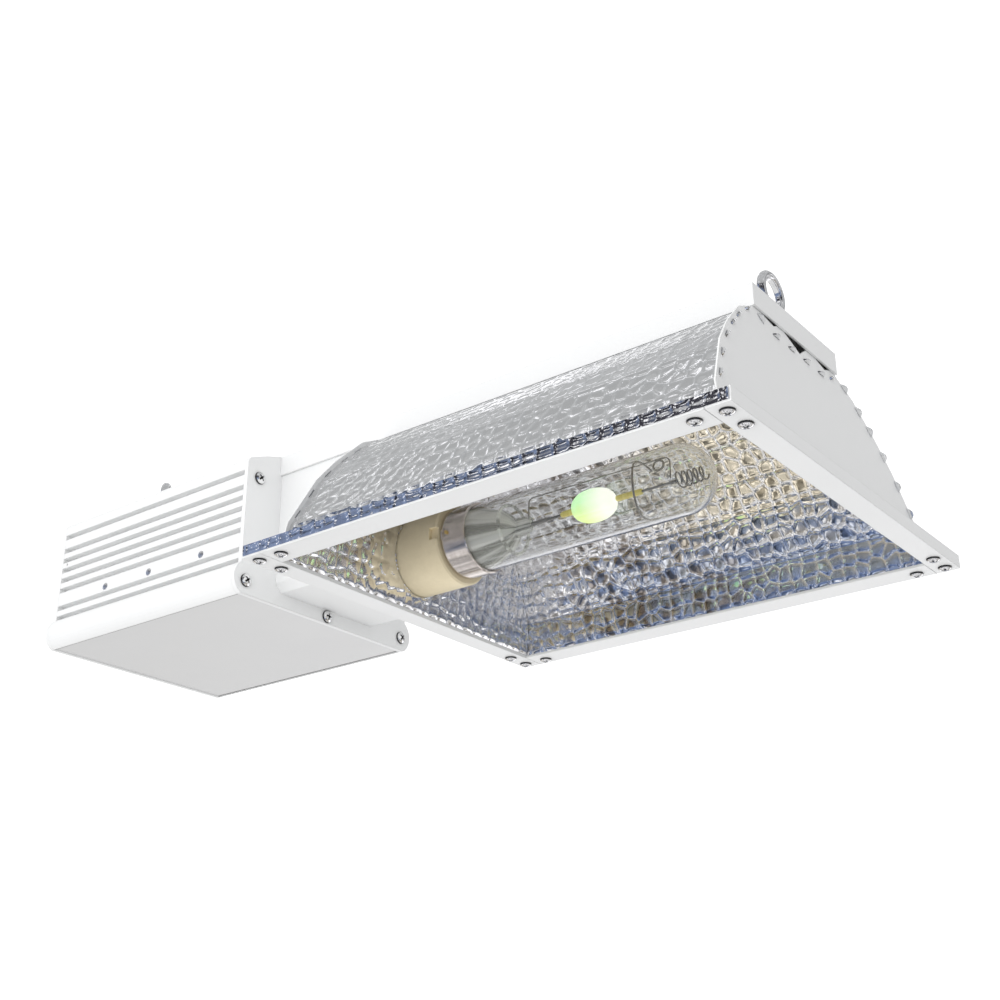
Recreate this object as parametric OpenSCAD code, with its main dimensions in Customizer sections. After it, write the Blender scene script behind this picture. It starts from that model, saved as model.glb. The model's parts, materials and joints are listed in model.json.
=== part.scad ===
// Horizontal ceramic metal halide grow lamp: finned ballast, neck, hammered open reflector.
// Lengths run along X (ballast at -X), widths along Y, +Z is up. Millimetres.
// Heights are laid out from the rim's underside and moved so that the origin is midway
// between the two hanging eyes.

/* [Reflector] */
// Half length of the open mouth, along the lamp
mouth_x = 134; // [130:1:138]
// Half width of the open mouth
mouth_y = 108.5; // [108:0.5:110]
// Width of the rim on the long sides
rim_side = 16.5; // [15:0.5:18]
// Width of the rim at the two ends
rim_end = 13; // [12:0.5:15]
// Thickness of the hammered sheet
sheet_t = 0.8; // [0.6:0.1:1]
// Thickness of the painted steel plates
plate_t = 1; // [0.8:0.1:1.2]
// Inward lean of the end plates, run over rise
end_lean = 0.15; // [0.12:0.01:0.16]

/* [Lamp] */
// Height of the lamp's axis above the rim
lamp_z = 35.5; // [34:0.5:37]
// Radius of the outer glass tube
glass_r = 19.5; // [19:0.5:19.5]
// Wall of the outer glass tube
glass_t = 1.2; // [0.9:0.1:1.5]
// Radius of the ceramic lampholder
socket_r = 24.3; // [24:0.1:24.6]
// Where the lampholder's front face lies
socket_x = -98.5; // [-99:0.5:-98]

/* [Ballast] */
// Length of the finned housing
ballast_l = 171.5; // [160:0.5:180]
// Depth of the cooling grooves
groove_d = 4.6; // [3:0.2:4.6]
// Width of a cooling groove
groove_w = 3.3; // [2.5:0.1:3.5]
// Thickness of the two ballast end plates
end_t = 3; // [2.5:0.5:3]

/* [Hanging] */
// Inside radius of a hanging eye
eye_r = 8; // [7:0.5:8]
// Thickness of a hanging eye's rod
eye_rod = 5; // [4.8:0.1:5.2]

/* [Hidden] */
$fn = 64;
lip_h = 7.5;
bar_t = 1.4;
rim_x = mouth_x + rim_end;
rim_y = mouth_y + rim_side;
crown_z = 84;
wall = [[mouth_y, bar_t], [106, 21], [91, 49.5], [79, 64.5], [61, 82], [45.5, 92], [33, crown_z]];
plate_overlap = 3;
tab_w = 6;
tab_spacing = 15;
top_y = 43.5;
top_z = 94;
bracket_t = 1.5;
corner_screws_at = [[141, 118], [141, 102], [125, 118]];
screw_r = 1.9;
hole_r = 2.05;
neck_y = 44.6;
neck_t = 1.2;
neck_bottom = 18;
neck_chamfer = 5;
channel_y = 46;
channel_z = 106;
channel_t = 1.2;
channel_lip = 93.2;
channel_end = 122.4;
front_x = -206;
house_x = front_x - end_t;
rear_x = house_x - ballast_l;
side_y = 72.5;
crown_r = 168.4;
crown_c = -56;
crown_edge = 70.5;
nose_r = 11.5;
nose_c = [66, 19.5];
cover_z = 10.2;
cover_t = 1.5;
cover_y = 70.4;
cavity_y = 65;
cavity_r = crown_r - 8;
groove_z = [87, 77.3, 70.3, 63.3, 56.3, 49.3, 37, 30];
top_groove_y = [27, 35, 43, 51, 59];
end_screws_at = [[62.8, 85.5], [68.5, 18]];
boss_z = 13.9;
rivet_x = [-243, -291, -333];
rivet_z = 42;
rivet_r = 1.55;
rivet_hole = 1.6;
thread_r = 1.65;
plug_z = 46;
plug_y = -28;
socket_back = -141;
recess_r = 18.05;
recess_x = -113;
recess_fit = 0.08;
cap_x = -98.2;
shell_r = 21;
shell_end = -81;
glass_back = -94;
dome_x = 49;
pin_pcr = 9;
pin_r = 1.5;
head_r = 2.4;
twist = 20;
pin_angles = [0, 180];
slot_x = -117;
contact_x = -125;
contact_t = 1.6;
cavity_x = -128;
arc_x = -5.5;
front_eye_x = 110;
rear_eye_x = -371;
rear_eye_turn = 38;
washer_t = 1.2;
washer_r = 6.6;
nut_h = 5;
shank_r = 3;
seat_gap = 0.3;
swivel_gap = 0.06;
collar_drop = eye_r + eye_rod + 5.5;
rear_seat_z = 111.5;
rear_under_z = crown_c + cavity_r * cos(asin(washer_r / cavity_r)) - washer_t - 0.2;
front_eye_z = channel_z + washer_t + seat_gap + collar_drop;
rear_eye_z = rear_seat_z + washer_t + seat_gap + nut_h + collar_drop;
rivet_spots = [[-170, 36], [-60, 20], [60, 20]];
saddle_x = [-60, 60];
neck_screws_at = [[38, 40], [38, 88]];
board_z = 23;
board_t = 1.6;
board_top = board_z + board_t;
standoff_at = [[-340, 50], [-340, -50], [-228, 50], [-228, -50]];
wire_r = 0.65;
wire_run = 16;
hook_x = 43;
press_tip = -48;
press_half = 6;
neck_tip = 29;
lead_wire_r = 0.7;
spring_turns = 5;
spring_steps = 12;
spring_sides = 8;
spring_r = 4.4;
spring_pitch = 3.4;
spring_wire_r = 0.45;
origin = [(front_eye_x + rear_eye_x) / 2, 0, (front_eye_z + rear_eye_z) / 2];

// ---------- helpers ----------

// Places what is laid out from the rim into the part's own frame
module from_rim() {
    translate(-origin) children();
}

// Extrudes a (Y, Z) outline along X, from x0 to x1
module along_x(x0, x1) {
    translate([x0, 0, 0]) rotate([90, 0, 90]) linear_extrude(x1 - x0) children();
}

// Extrudes an (X, Z) outline along Y over the whole width
module across_y(width) {
    rotate([90, 0, 0]) linear_extrude(width, center = true) children();
}

// Round bar along X at (y, z)
module bar_x(x0, x1, r, y = 0, z = 0) {
    translate([x0, y, z]) rotate([0, 90, 0]) cylinder(h = x1 - x0, r = r);
}

// Turned shape about the lamp's axis; the outline is (radius, X)
module turned_on_lamp() {
    translate([0, 0, lamp_z]) rotate([0, 90, 0]) rotate_extrude($fn = 96) children();
}

function unit(v) = v / norm(v);
function right_of(d) = [d[1], -d[0]];
function mirrored(path) = [for (i = [len(path) - 1 : -1 : 0]) [-path[i][0], path[i][1]]];
// Mitred point of a path, moved to its right by t
function moved_point(p, i, t) =
    let (a = unit(p[max(i, 1)] - p[max(i, 1) - 1]),
         b = unit(p[min(i + 1, len(p) - 1)] - p[min(i, len(p) - 2)]),
         n = unit(right_of(a) + right_of(b)))
    p[i] + n * t / (n * right_of(a));
function moved(p, t) = [for (i = [0 : len(p) - 1]) moved_point(p, i, t)];
function backwards(p) = [for (i = [len(p) - 1 : -1 : 0]) p[i]];
function strip(p, t) = concat(p, backwards(moved(p, t)));
function lean_x(z) = mouth_x - end_lean * z;

// Space between the two leaning end planes, d further out on each side
module between_ends(d) {
    low = -20;
    high = 120;
    across_y(400)
        polygon([[-lean_x(low) - d, low], [lean_x(low) + d, low],
                 [lean_x(high) + d, high], [-lean_x(high) - d, high]]);
}

// Leaning sheet of thickness t whose inner face is d outside the end plane at +X
module end_sheet(d, t) {
    intersection() {
        along_x(60, rim_x + 20) children();
        difference() {
            between_ends(d + t);
            between_ends(d);
        }
    }
}

// Pan head screw along -Z with its head's underside at z = 0
module pan_screw(r, head, length) {
    difference() {
        intersection() {
            translate([0, 0, -0.7 * head]) sphere(r = 1.25 * head);
            cylinder(h = head, r = head);
        }
        for (a = [0, 90]) rotate(a)
            translate([-head * 0.5, -head * 0.11, head * 0.2]) cube([head, head * 0.22, head]);
    }
    translate([0, 0, -length]) cylinder(h = length, r = r);
}

module at_corners(points) {
    for (sx = [-1, 1], sy = [-1, 1], p = points)
        translate([sx * p[0], sy * p[1], 0]) children();
}

// ---------- reflector ----------

sheet_path = concat(wall, mirrored(wall));

// Slots at even steps along every bend-to-bend stretch of the sheet
module along_sheet() {
    for (i = [0 : len(sheet_path) - 2]) {
        run = sheet_path[i + 1] - sheet_path[i];
        count = max(1, round(norm(run) / tab_spacing));
        for (k = [0 : count - 1])
            translate(concat([0], sheet_path[i] + run * (k + 0.5) / count))
                rotate([atan2(run[1], run[0]), 0, 0]) children();
    }
}

// The sheet's tabs, or with more clearance the slots that they pass through
module sheet_tabs(x0, x1, width, thick) {
    along_sheet() translate([x0, -width / 2, -(sheet_t + thick) / 2]) cube([x1 - x0, width, thick]);
}

module reflector_sheet() {
    tab_out = 1.6;
    end_gap = 0.3;
    color("silver") from_rim() {
        intersection() {
            along_x(-rim_x, rim_x) polygon(strip(sheet_path, sheet_t));
            between_ends(0);
        }
        intersection() {
            sheet_tabs(-rim_x, rim_x, tab_w - 1, sheet_t);
            between_ends(plate_t + tab_out);
        }
        difference() {
            for (sy = [-1, 1])
                along_x(-rim_x + plate_t, rim_x - plate_t) scale([sy, 1])
                    polygon(strip([[rim_y, lip_h - 0.6], [rim_y, bar_t], [mouth_y, bar_t]], sheet_t));
            at_corners(corner_screws_at) cylinder(h = 20, r = hole_r, center = true);
            for (sx = [-1, 1]) translate([sx * (mouth_x + 0.4), 0, bar_t])
                cube([plate_t + 2 * end_gap, 2 * (mouth_y + plate_overlap + end_gap), 4], center = true);
        }
    }
}

module plate_outline() {
    edge = moved(wall, plate_overlap);
    side = [for (i = [1 : 4]) edge[i]];
    teeth = [[41, top_z], [32, 90.5], [20.5, top_z], [12.5, top_z], [2, 86.5], [-13.5, top_z],
             [-18.5, top_z], [-24.5, 91], [-40, top_z]];
    polygon(concat([[mouth_y + plate_overlap, 0]], side, [[top_y, top_z]], teeth,
                   [[-top_y, top_z]], mirrored(side), [[-mouth_y - plate_overlap, 0]]));
}

// White end plate: leaning wall, flat end rim and the rim's upturned lip
module end_plate() {
    end_sheet(0, plate_t) plate_outline();
    difference() {
        translate([mouth_x, -rim_y, 0]) cube([rim_end, 2 * rim_y, bar_t]);
        at_corners(corner_screws_at) cylinder(h = 20, r = hole_r, center = true);
    }
    translate([rim_x - plate_t, -rim_y, 0]) cube([plate_t, 2 * rim_y, lip_h]);
}

module far_end_plate() {
    color("white") from_rim() difference() {
        end_plate();
        sheet_tabs(mouth_x - 30, mouth_x + 3, tab_w, sheet_t + 0.4);
    }
}

module near_end_plate() {
    color("white") from_rim() mirror([1, 0, 0]) difference() {
        end_plate();
        sheet_tabs(mouth_x - 30, mouth_x + 3, tab_w, sheet_t + 0.4);
        bar_x(mouth_x - 40, rim_x - plate_t - 1, socket_r + 0.7, 0, lamp_z);
    }
}

module liner_outline() {
    polygon(moved(sheet_path, -0.15));
}

module far_end_liner() {
    color("silver") from_rim()
        end_sheet(-sheet_t - 0.02, sheet_t) liner_outline();
}

module near_end_liner() {
    color("silver") from_rim() mirror([1, 0, 0]) difference() {
        end_sheet(-sheet_t - 0.02, sheet_t) liner_outline();
        bar_x(60, rim_x, socket_r + 0.7, 0, lamp_z);
    }
}

module rim_bar() {
    seam = 0.3;
    difference() {
        translate([-mouth_x + seam, mouth_y, 0]) cube([2 * (mouth_x - seam), rim_side, bar_t]);
        at_corners(corner_screws_at) cylinder(h = 20, r = hole_r, center = true);
    }
}

module left_rim_bar() {
    color("white") from_rim() rim_bar();
}

module right_rim_bar() {
    color("white") from_rim() mirror([0, 1, 0]) rim_bar();
}

module corner_brackets() {
    leg_y = rim_y - sheet_t - 0.2;
    leg_x = rim_x - plate_t - 0.2;
    color("gainsboro") from_rim() for (sx = [-1, 1], sy = [-1, 1]) scale([sx, sy, 1])
        translate([0, 0, bar_t + sheet_t]) difference() {
            linear_extrude(bracket_t)
                polygon([[117, leg_y], [117, mouth_y + 4.5], [mouth_x + 2.2, mouth_y + 4.5],
                         [mouth_x + 2.2, 94], [leg_x, 94], [leg_x, leg_y]]);
            for (p = corner_screws_at) translate([p[0], p[1], -1]) cylinder(h = 5, r = screw_r + 0.02);
        }
}

module corner_screws() {
    color("lightgray") from_rim()
        at_corners(corner_screws_at) rotate([180, 0, 0]) pan_screw(screw_r, 3.7, 6.5);
}

// ---------- top channel and neck ----------

module top_channel() {
    color("white") from_rim() difference() {
        union() {
            translate([front_x, -channel_y, channel_z - channel_t])
                cube([channel_end - front_x, 2 * channel_y, channel_t]);
            for (sy = [-1, 1]) scale([1, sy, 1])
                translate([front_x, channel_y - channel_t, channel_lip])
                    cube([channel_end - front_x, channel_t, channel_z - channel_lip]);
            translate([channel_end - channel_t, -channel_y, channel_lip])
                cube([channel_t, 2 * channel_y, channel_z - channel_lip]);
        }
        translate([front_eye_x, 0, channel_z - 5]) cylinder(h = 10, r = shank_r + swivel_gap);
        at_rivets() cylinder(h = 10, r = rivet_hole, center = true);
    }
}

module at_rivets() {
    for (p = rivet_spots, sy = [-1, 1]) translate([p[0], sy * p[1], channel_z]) children();
}

// Hat-shaped saddles that hold the reflector's crown under the channel
module channel_saddles() {
    top = channel_z - channel_t;
    foot = crown_z + sheet_t;
    path = [[-15, foot], [-27, foot], [-27, top], [27, top], [27, foot], [15, foot]];
    color("gainsboro") from_rim() difference() {
        for (x = saddle_x) along_x(x - 15, x + 15) polygon(strip(path, 1.5));
        at_rivets() cylinder(h = 10, r = rivet_hole, center = true);
    }
}

module channel_rivets() {
    color("gainsboro") from_rim() at_rivets() {
            intersection() {
                cylinder(h = 1.2, r = 3);
                translate([0, 0, -3.4]) sphere(r = 4.6);
            }
            translate([0, 0, -3.5]) cylinder(h = 3.5, r = rivet_r);
        }
}

module neck_outline() {
    top = channel_z - channel_t;
    half = [[neck_y - 15, top], [neck_y, top], [neck_y, neck_bottom + neck_chamfer],
            [neck_y - neck_chamfer, neck_bottom]];
    polygon(strip(concat(half, mirrored(half)), neck_t));
}

module at_neck_screws() {
    for (sy = [-1, 1], p = neck_screws_at)
        translate([house_x, sy * p[0], p[1]]) rotate([0, -90, 0]) children();
}

module neck_cover() {
    color("white") from_rim() difference() {
        union() {
            difference() {
                along_x(front_x, -100) neck_outline();
                between_ends(plate_t);
                bar_x(socket_back - 0.5, -100, socket_r + 0.7, 0, lamp_z);
            }
            for (sy = [-1, 1]) scale([1, sy, 1])
                translate([front_x, 32, 30]) cube([neck_t, neck_y - neck_t / 2 - 32, 68]);
        }
        at_neck_screws() cylinder(h = 20, r = 1.62, center = true);
        at_rivets() cylinder(h = 10, r = rivet_hole, center = true);
    }
}

module neck_screws() {
    color("lightgray") from_rim() at_neck_screws() pan_screw(1.6, 3, 7);
}

// Steel plate across the neck that the lampholder is screwed to
module socket_bracket() {
    fit = 0.1;
    plate = 1.5;
    half = neck_y - neck_t - fit;
    low = neck_bottom + neck_t + fit;
    color("silver") from_rim() difference() {
        union() {
            along_x(socket_back - plate, socket_back)
                polygon([[half, 88], [half, low + 4.6], [half - 4.6, low],
                         [4.6 - half, low], [-half, low + 4.6], [-half, 88]]);
            for (sy = [-1, 1]) scale([1, sy, 1])
                translate([socket_back - 13, half - plate, 30]) cube([12, plate, 50]);
        }
        for (sy = [-1, 1]) bar_x(socket_back - 5, socket_back + 5, 1.7, sy * 14, lamp_z);
        bar_x(socket_back - 5, socket_back + 5, 11, 0, lamp_z);
        for (z = [40, 68]) translate([socket_back - 8, 0, z]) rotate([90, 0, 0])
            cylinder(h = 200, r = 1.55, center = true);
    }
}

module bracket_screws() {
    color("lightgray") from_rim() for (sy = [-1, 1], z = [40, 68])
        translate([socket_back - 8, sy * (neck_y - neck_t - 1.6), z]) rotate([90 * sy, 0, 0])
            pan_screw(1.5, 2.9, 1.5);
}

// ---------- lampholder ----------

// Arc of a ring about the lamp's axis on the pins' circle, from a0 to a1 degrees, half its width
// either side; past each end it has room for a round pin of that radius
module pin_arc(x0, x1, half, a0, a1) {
    room = asin(half / pin_pcr);
    translate([x0, 0, lamp_z]) rotate([0, 90, 0]) rotate([0, 0, a0 - room])
        rotate_extrude(angle = a1 - a0 + 2 * room)
            translate([pin_pcr - half, 0]) square([2 * half, x1 - x0]);
}

module lampholder() {
    rim_round = 1;
    color("tan") from_rim() difference() {
        turned_on_lamp()
            polygon([[0, socket_back], [socket_r - rim_round, socket_back],
                     [socket_r, socket_back + rim_round], [socket_r, socket_x - rim_round],
                     [socket_r - rim_round, socket_x], [0, socket_x]]);
        bar_x(recess_x, socket_x + 1, recess_r, 0, lamp_z);
        for (a = pin_angles) {
            pin_arc(slot_x - 1, recess_x + 1, pin_r + 0.35, a, a + twist);
            pin_arc(cavity_x, slot_x, head_r + 0.9, a, a + twist);
            translate([0, 0, lamp_z]) rotate([a + twist, 0, 0])
                bar_x(slot_x - 1, recess_x + 1, head_r + 0.35, 0, -pin_pcr);
        }
        for (sy = [-1, 1]) {
            bar_x(socket_back - 1, -132, 1.6, sy * 14, lamp_z);
            translate([socket_x - 2.2, sy * socket_r, lamp_z]) cube([6, 5, 7], center = true);
        }
        for (s = [-1, 1]) bar_x(socket_back - 1, cavity_x + 1, 3.2, 0, lamp_z + s * pin_pcr);
    }
}

module lampholder_contacts() {
    color("goldenrod") from_rim() for (a = pin_angles)
        difference() {
            pin_arc(contact_x - contact_t, contact_x, head_r + 0.2, a, a + twist);
            pin_arc(contact_x - contact_t / 2, contact_x + 1, 0.8, a + 4, a + twist);
        }
}

module lampholder_screws() {
    color("lightgray") from_rim() for (sy = [-1, 1])
        translate([socket_back - 1.5, sy * 14, lamp_z]) rotate([0, -90, 0]) pan_screw(1.55, 3, 9);
}

// Two insulated wires from the lampholder into the ballast
module lampholder_leads() {
    lead_r = 1.4;
    color("whitesmoke") from_rim() for (s = [-1, 1]) {
        end_x = house_x - 20 - 3 * s;
        z = lamp_z + s * pin_pcr;
        bar_x(end_x, contact_x - contact_t, lead_r, 0, z);
        translate([end_x, 0, board_top]) cylinder(h = z - board_top, r = lead_r);
        translate([end_x, 0, z]) sphere(lead_r);
    }
}

// ---------- ballast ----------

function crown(r, y) = [y, crown_c + sqrt(r * r - y * y)];
function crown_arc(r, edge) = [for (i = [0 : 12]) crown(r, edge - i * edge / 6)];
nose_arc = [for (a = [-60 : 11.5 : 55]) nose_c + nose_r * [cos(a), sin(a)]];

module ballast_section() {
    right = concat(nose_arc, [[side_y, 29], [side_y, 94]]);
    polygon(concat(right, crown_arc(crown_r, crown_edge), mirrored(right)));
}

// The housing's hollow, with the ledges that the bottom cover sits against
module hollow_section() {
    slot_y = cover_y + 0.7;
    ledge_z = cover_z + cover_t + 0.1;
    right = [[slot_y, 0], [slot_y, ledge_z], [62, ledge_z], [62, 16], [cavity_y, 16]];
    polygon(concat(right, crown_arc(cavity_r, cavity_y), mirrored(right)));
}

module end_screw_spots() {
    for (sy = [-1, 1], p = end_screws_at) translate([sy * p[0], p[1]]) children();
    translate([0, boss_z]) children();
}

module ballast_housing() {
    boss_r = 3.6;
    color("white") from_rim() difference() {
        along_x(rear_x, house_x) difference() {
            union() {
                difference() {
                    ballast_section();
                    hollow_section();
                }
                for (sy = [-1, 1])
                    translate([sy * end_screws_at[0][0], end_screws_at[0][1]]) circle(boss_r);
            }
            for (sy = [-1, 1], z = groove_z)
                translate([sy * (side_y - groove_d / 2 + 2), z])
                    square([groove_d + 4, groove_w], center = true);
            for (sy = [-1, 1], y = top_groove_y)
                translate([sy * y, crown(crown_r, y)[1] - groove_d / 2 + 2])
                    square([groove_w, groove_d + 4], center = true);
            for (sy = [-1, 1], p = end_screws_at) translate([sy * p[0], p[1]]) circle(thread_r);
        }
        for (x = rivet_x)
            translate([x, -side_y - 1, rivet_z]) rotate([-90, 0, 0]) cylinder(h = 12, r = rivet_hole);
        translate([-376, -side_y - 1, 67]) rotate([-90, 0, 0]) cylinder(h = 3, r = 0.8);
        translate([rear_eye_x, 0, rear_seat_z - 20]) cylinder(h = 30, r = shank_r + swivel_gap);
        translate([rear_eye_x, 0, rear_seat_z]) cylinder(h = 10, r = 8.5);
    }
}

module ballast_bottom_cover() {
    color("lightgray") from_rim() along_x(rear_x, house_x) difference() {
        union() {
            translate([-cover_y, cover_z]) square([2 * cover_y, cover_t]);
            translate([-1.5, cover_z]) square([3, boss_z - cover_z]);
            translate([0, boss_z]) circle(3.4);
        }
        translate([0, boss_z]) circle(thread_r);
    }
}

module ballast_front_plate() {
    color("white") from_rim() difference() {
        along_x(house_x, front_x) difference() {
            ballast_section();
            end_screw_spots() circle(hole_r);
            translate([-25, 25]) square([50, 40]);
        }
        at_neck_screws() cylinder(h = 20, r = 1.7, center = true);
    }
}

module ballast_rear_plate() {
    color("white") from_rim() along_x(rear_x - end_t, rear_x) difference() {
        ballast_section();
        end_screw_spots() circle(hole_r);
        translate([plug_y, plug_z]) square([27.4, 20.2], center = true);
    }
}

module end_screws() {
    for (sy = [-1, 1], p = end_screws_at) translate([0, sy * p[0], p[1]]) rotate([0, 90, 0]) children();
    translate([0, 0, boss_z]) rotate([0, 90, 0]) children();
}

module front_plate_screws() {
    color("lightgray") from_rim() translate([front_x, 0, 0]) end_screws() pan_screw(1.6, 4, 12);
}

module rear_plate_screws() {
    color("lightgray") from_rim() translate([rear_x - end_t, 0, 0]) mirror([1, 0, 0])
        end_screws() pan_screw(1.6, 4, 12);
}

// Aluminium bar that carries the power devices' heat into the finned side
module heat_spreader() {
    color("silver") from_rim() difference() {
        translate([-350, -cavity_y, 30]) cube([125, 6, 24]);
        for (x = rivet_x)
            translate([x, -cavity_y - 1, rivet_z]) rotate([-90, 0, 0]) cylinder(h = 9, r = rivet_hole);
    }
}

module spreader_rivets() {
    color("lightgray") from_rim() for (x = rivet_x)
        translate([x, -side_y, rivet_z]) rotate([90, 0, 0]) {
            intersection() {
                cylinder(h = 0.9, r = 2.4);
                translate([0, 0, -2.8]) sphere(r = 3.7);
            }
            translate([0, 0, -13]) cylinder(h = 13, r = rivet_r);
        }
}

module power_transistors() {
    color("dimgray") from_rim() for (x = [-316, -268]) {
        translate([x - 8, -cavity_y + 6, 33]) cube([16, 5, 20]);
        for (k = [-1, 0, 1]) translate([x + 5 * k - 0.6, -cavity_y + 8, 24.6]) cube([1.2, 0.7, 8.6]);
    }
}

module ballast_circuit_board() {
    color("darkgreen") from_rim() difference() {
        translate([-350, -59, board_z]) cube([132, 119, board_t]);
        for (p = standoff_at) translate([p[0], p[1], 0]) cylinder(h = 40, r = 1.7);
    }
}

module board_standoffs() {
    base = cover_z + cover_t;
    color("goldenrod") from_rim() for (p = standoff_at) translate([p[0], p[1], base]) {
        cylinder(h = board_z - base, r = 3, $fn = 6);
        cylinder(h = board_z - base + board_t + 1.5, r = 1.5);
    }
}

// Ferrite frame of the lamp's choke; the winding bulges out on both sides of it
module choke_core() {
    color("dimgray") from_rim() translate([-290, -4, board_top]) difference() {
        translate([-26, -11, 0]) cube([52, 22, 42]);
        translate([-18, -12, 8]) cube([36, 24, 26]);
    }
}

module choke_winding() {
    color("saddlebrown") from_rim() translate([-290, -4, board_top + 21]) difference() {
        translate([-17.9, -21, -12.9]) cube([35.8, 42, 25.8]);
        for (sz = [-1, 1], sy = [-1, 1])
            translate([0, sy * 21, sz * 12.9]) rotate([45, 0, 0]) cube([40, 5, 5], center = true);
    }
}

module smoothing_capacitors() {
    color("darkslateblue") from_rim() for (y = [22, 48])
        translate([-244, y - 4, board_top]) {
            cylinder(h = 40, r = 11);
            translate([0, 0, 40]) cylinder(h = 0.8, r = 9.5);
        }
}

// Recessed three-pin appliance inlet, snapped into the rear plate
module power_inlet() {
    flange_t = 2.4;
    out = rear_x - end_t - flange_t;
    color("dimgray") from_rim() difference() {
        union() {
            along_x(out, rear_x - end_t) translate([plug_y, plug_z]) square([31, 24], center = true);
            along_x(rear_x - end_t, rear_x + 14)
                translate([plug_y, plug_z]) square([27, 19.8], center = true);
        }
        along_x(out - 1, rear_x + 11) translate([plug_y, plug_z])
            polygon([[-12.1, -8.3], [12.1, -8.3], [12.1, 5], [8.6, 8.3], [-8.6, 8.3], [-12.1, 5]]);
        pin_bars();
    }
}

// The three flat pins, or what they pass through
module pin_bars() {
    for (p = [[-7, -1.5], [0, 2.5], [7, -1.5]])
        translate([rear_x - 3, plug_y + p[0] - 1, plug_z + p[1] - 2]) cube([26, 2, 4]);
}

module inlet_pins() {
    color("silver") from_rim() pin_bars();
}

// ---------- hanging eyes ----------

// Eye bolt: a ring with a short cylindrical land inside, a collar and a shank
module eye_bolt(shank) {
    ring_r = eye_r + eye_rod / 2;
    land_r = eye_r + 0.35;
    rotate([0, 90, 0]) rotate_extrude() intersection() {
        translate([ring_r, 0]) circle(eye_rod / 2);
        translate([land_r, -eye_rod]) square(2 * eye_rod);
    }
    translate([0, 0, -collar_drop]) cylinder(h = 6.5, r = shank_r);
    translate([0, 0, -collar_drop]) cylinder(h = 3, r = 5.2);
    translate([0, 0, -collar_drop - shank]) cylinder(h = shank, r = shank_r);
}

module hex_nut() {
    difference() {
        cylinder(h = nut_h, r = 5.77, $fn = 6);
        translate([0, 0, -1]) cylinder(h = nut_h + 2, r = shank_r);
    }
}

// Hex nut with a nylon collar on its lower end, hanging down from its top face
module lock_nut() {
    mirror([0, 0, 1]) difference() {
        union() {
            cylinder(h = nut_h, r = 5.77, $fn = 6);
            cylinder(h = nut_h + 1.2, r = 4.6);
        }
        translate([0, 0, -1]) cylinder(h = nut_h + 3, r = shank_r);
    }
}

module washer() {
    difference() {
        cylinder(h = washer_t, r = washer_r);
        translate([0, 0, -1]) cylinder(h = washer_t + 2, r = shank_r + swivel_gap);
    }
}

module front_hanging_eye() {
    color("gainsboro") from_rim() translate([front_eye_x, 0, front_eye_z]) eye_bolt(14.5);
}

module front_eye_nut() {
    color("gainsboro") from_rim()
        translate([front_eye_x, 0, channel_z - channel_t - washer_t - seat_gap]) lock_nut();
}

module front_eye_washers() {
    color("silver") from_rim() translate([front_eye_x, 0, 0]) {
        translate([0, 0, channel_z]) washer();
        translate([0, 0, channel_z - channel_t - washer_t]) washer();
    }
}

module rear_hanging_eye() {
    color("gainsboro") from_rim() translate([rear_eye_x, 0, rear_eye_z])
        rotate([0, 0, rear_eye_turn]) eye_bolt(23.5);
}

module rear_eye_nuts() {
    color("gainsboro") from_rim() translate([rear_eye_x, 0, 0]) {
        translate([0, 0, rear_seat_z + washer_t + seat_gap]) rotate(rear_eye_turn) hex_nut();
        translate([0, 0, rear_under_z - seat_gap]) lock_nut();
    }
}

module rear_eye_washers() {
    color("silver") from_rim() translate([rear_eye_x, 0, 0]) {
        translate([0, 0, rear_seat_z]) washer();
        translate([0, 0, rear_under_z]) washer();
    }
}

// ---------- lamp ----------

module lamp_glass() {
    inner_r = glass_r - glass_t;
    color("aliceblue", 0.4) from_rim() turned_on_lamp() difference() {
        union() {
            translate([0, glass_back]) square([glass_r, dome_x - glass_back]);
            translate([0, dome_x]) intersection() {
                circle(glass_r);
                square(glass_r + 1);
            }
        }
        translate([-1, glass_back - 1]) square([inner_r + 1, dome_x - glass_back + 1]);
        translate([0, dome_x]) intersection() {
            circle(inner_r);
            translate([-1, -1]) square(inner_r + 2);
        }
        translate([-2, glass_back - 2]) square([2, 200]);
    }
}

module lamp_base_shell() {
    inner_r = 19.6;
    color("silver") from_rim() difference() {
        turned_on_lamp()
            polygon([[inner_r, cap_x], [shell_r - 0.5, cap_x], [shell_r, cap_x + 0.5],
                     [shell_r, shell_end - 0.6], [shell_r - 0.6, shell_end], [inner_r, shell_end]]);
        for (sy = [-1, 1]) translate([-94, sy * shell_r, lamp_z]) cube([4.6, 2, 6], center = true);
    }
}

module base_rivet() {
    color("goldenrod") from_rim() for (sy = [-1, 1])
        translate([-94, sy * 20.45, lamp_z]) rotate([90, 0, 0]) cylinder(h = 0.9, r = 1.1, center = true);
}

module lamp_base_insulator() {
    color("linen") from_rim() difference() {
        turned_on_lamp()
            polygon([[0, recess_x + 0.4], [recess_r - recess_fit, recess_x + 0.4],
                     [recess_r - recess_fit, cap_x], [19.5, cap_x], [19.5, glass_back - 0.1],
                     [0, glass_back - 0.1]]);
        for (a = pin_angles) translate([0, 0, lamp_z]) rotate([-a, 0, 0])
            bar_x(recess_x - 1, -104, pin_r, 0, -pin_pcr);
    }
}

module lamp_pins() {
    color("silver") from_rim() for (a = pin_angles) translate([0, 0, lamp_z]) rotate([-a, 0, 0]) {
        bar_x(-121, -104, pin_r, 0, -pin_pcr);
        bar_x(-124.4, -121, head_r, 0, -pin_pcr);
    }
}

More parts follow.
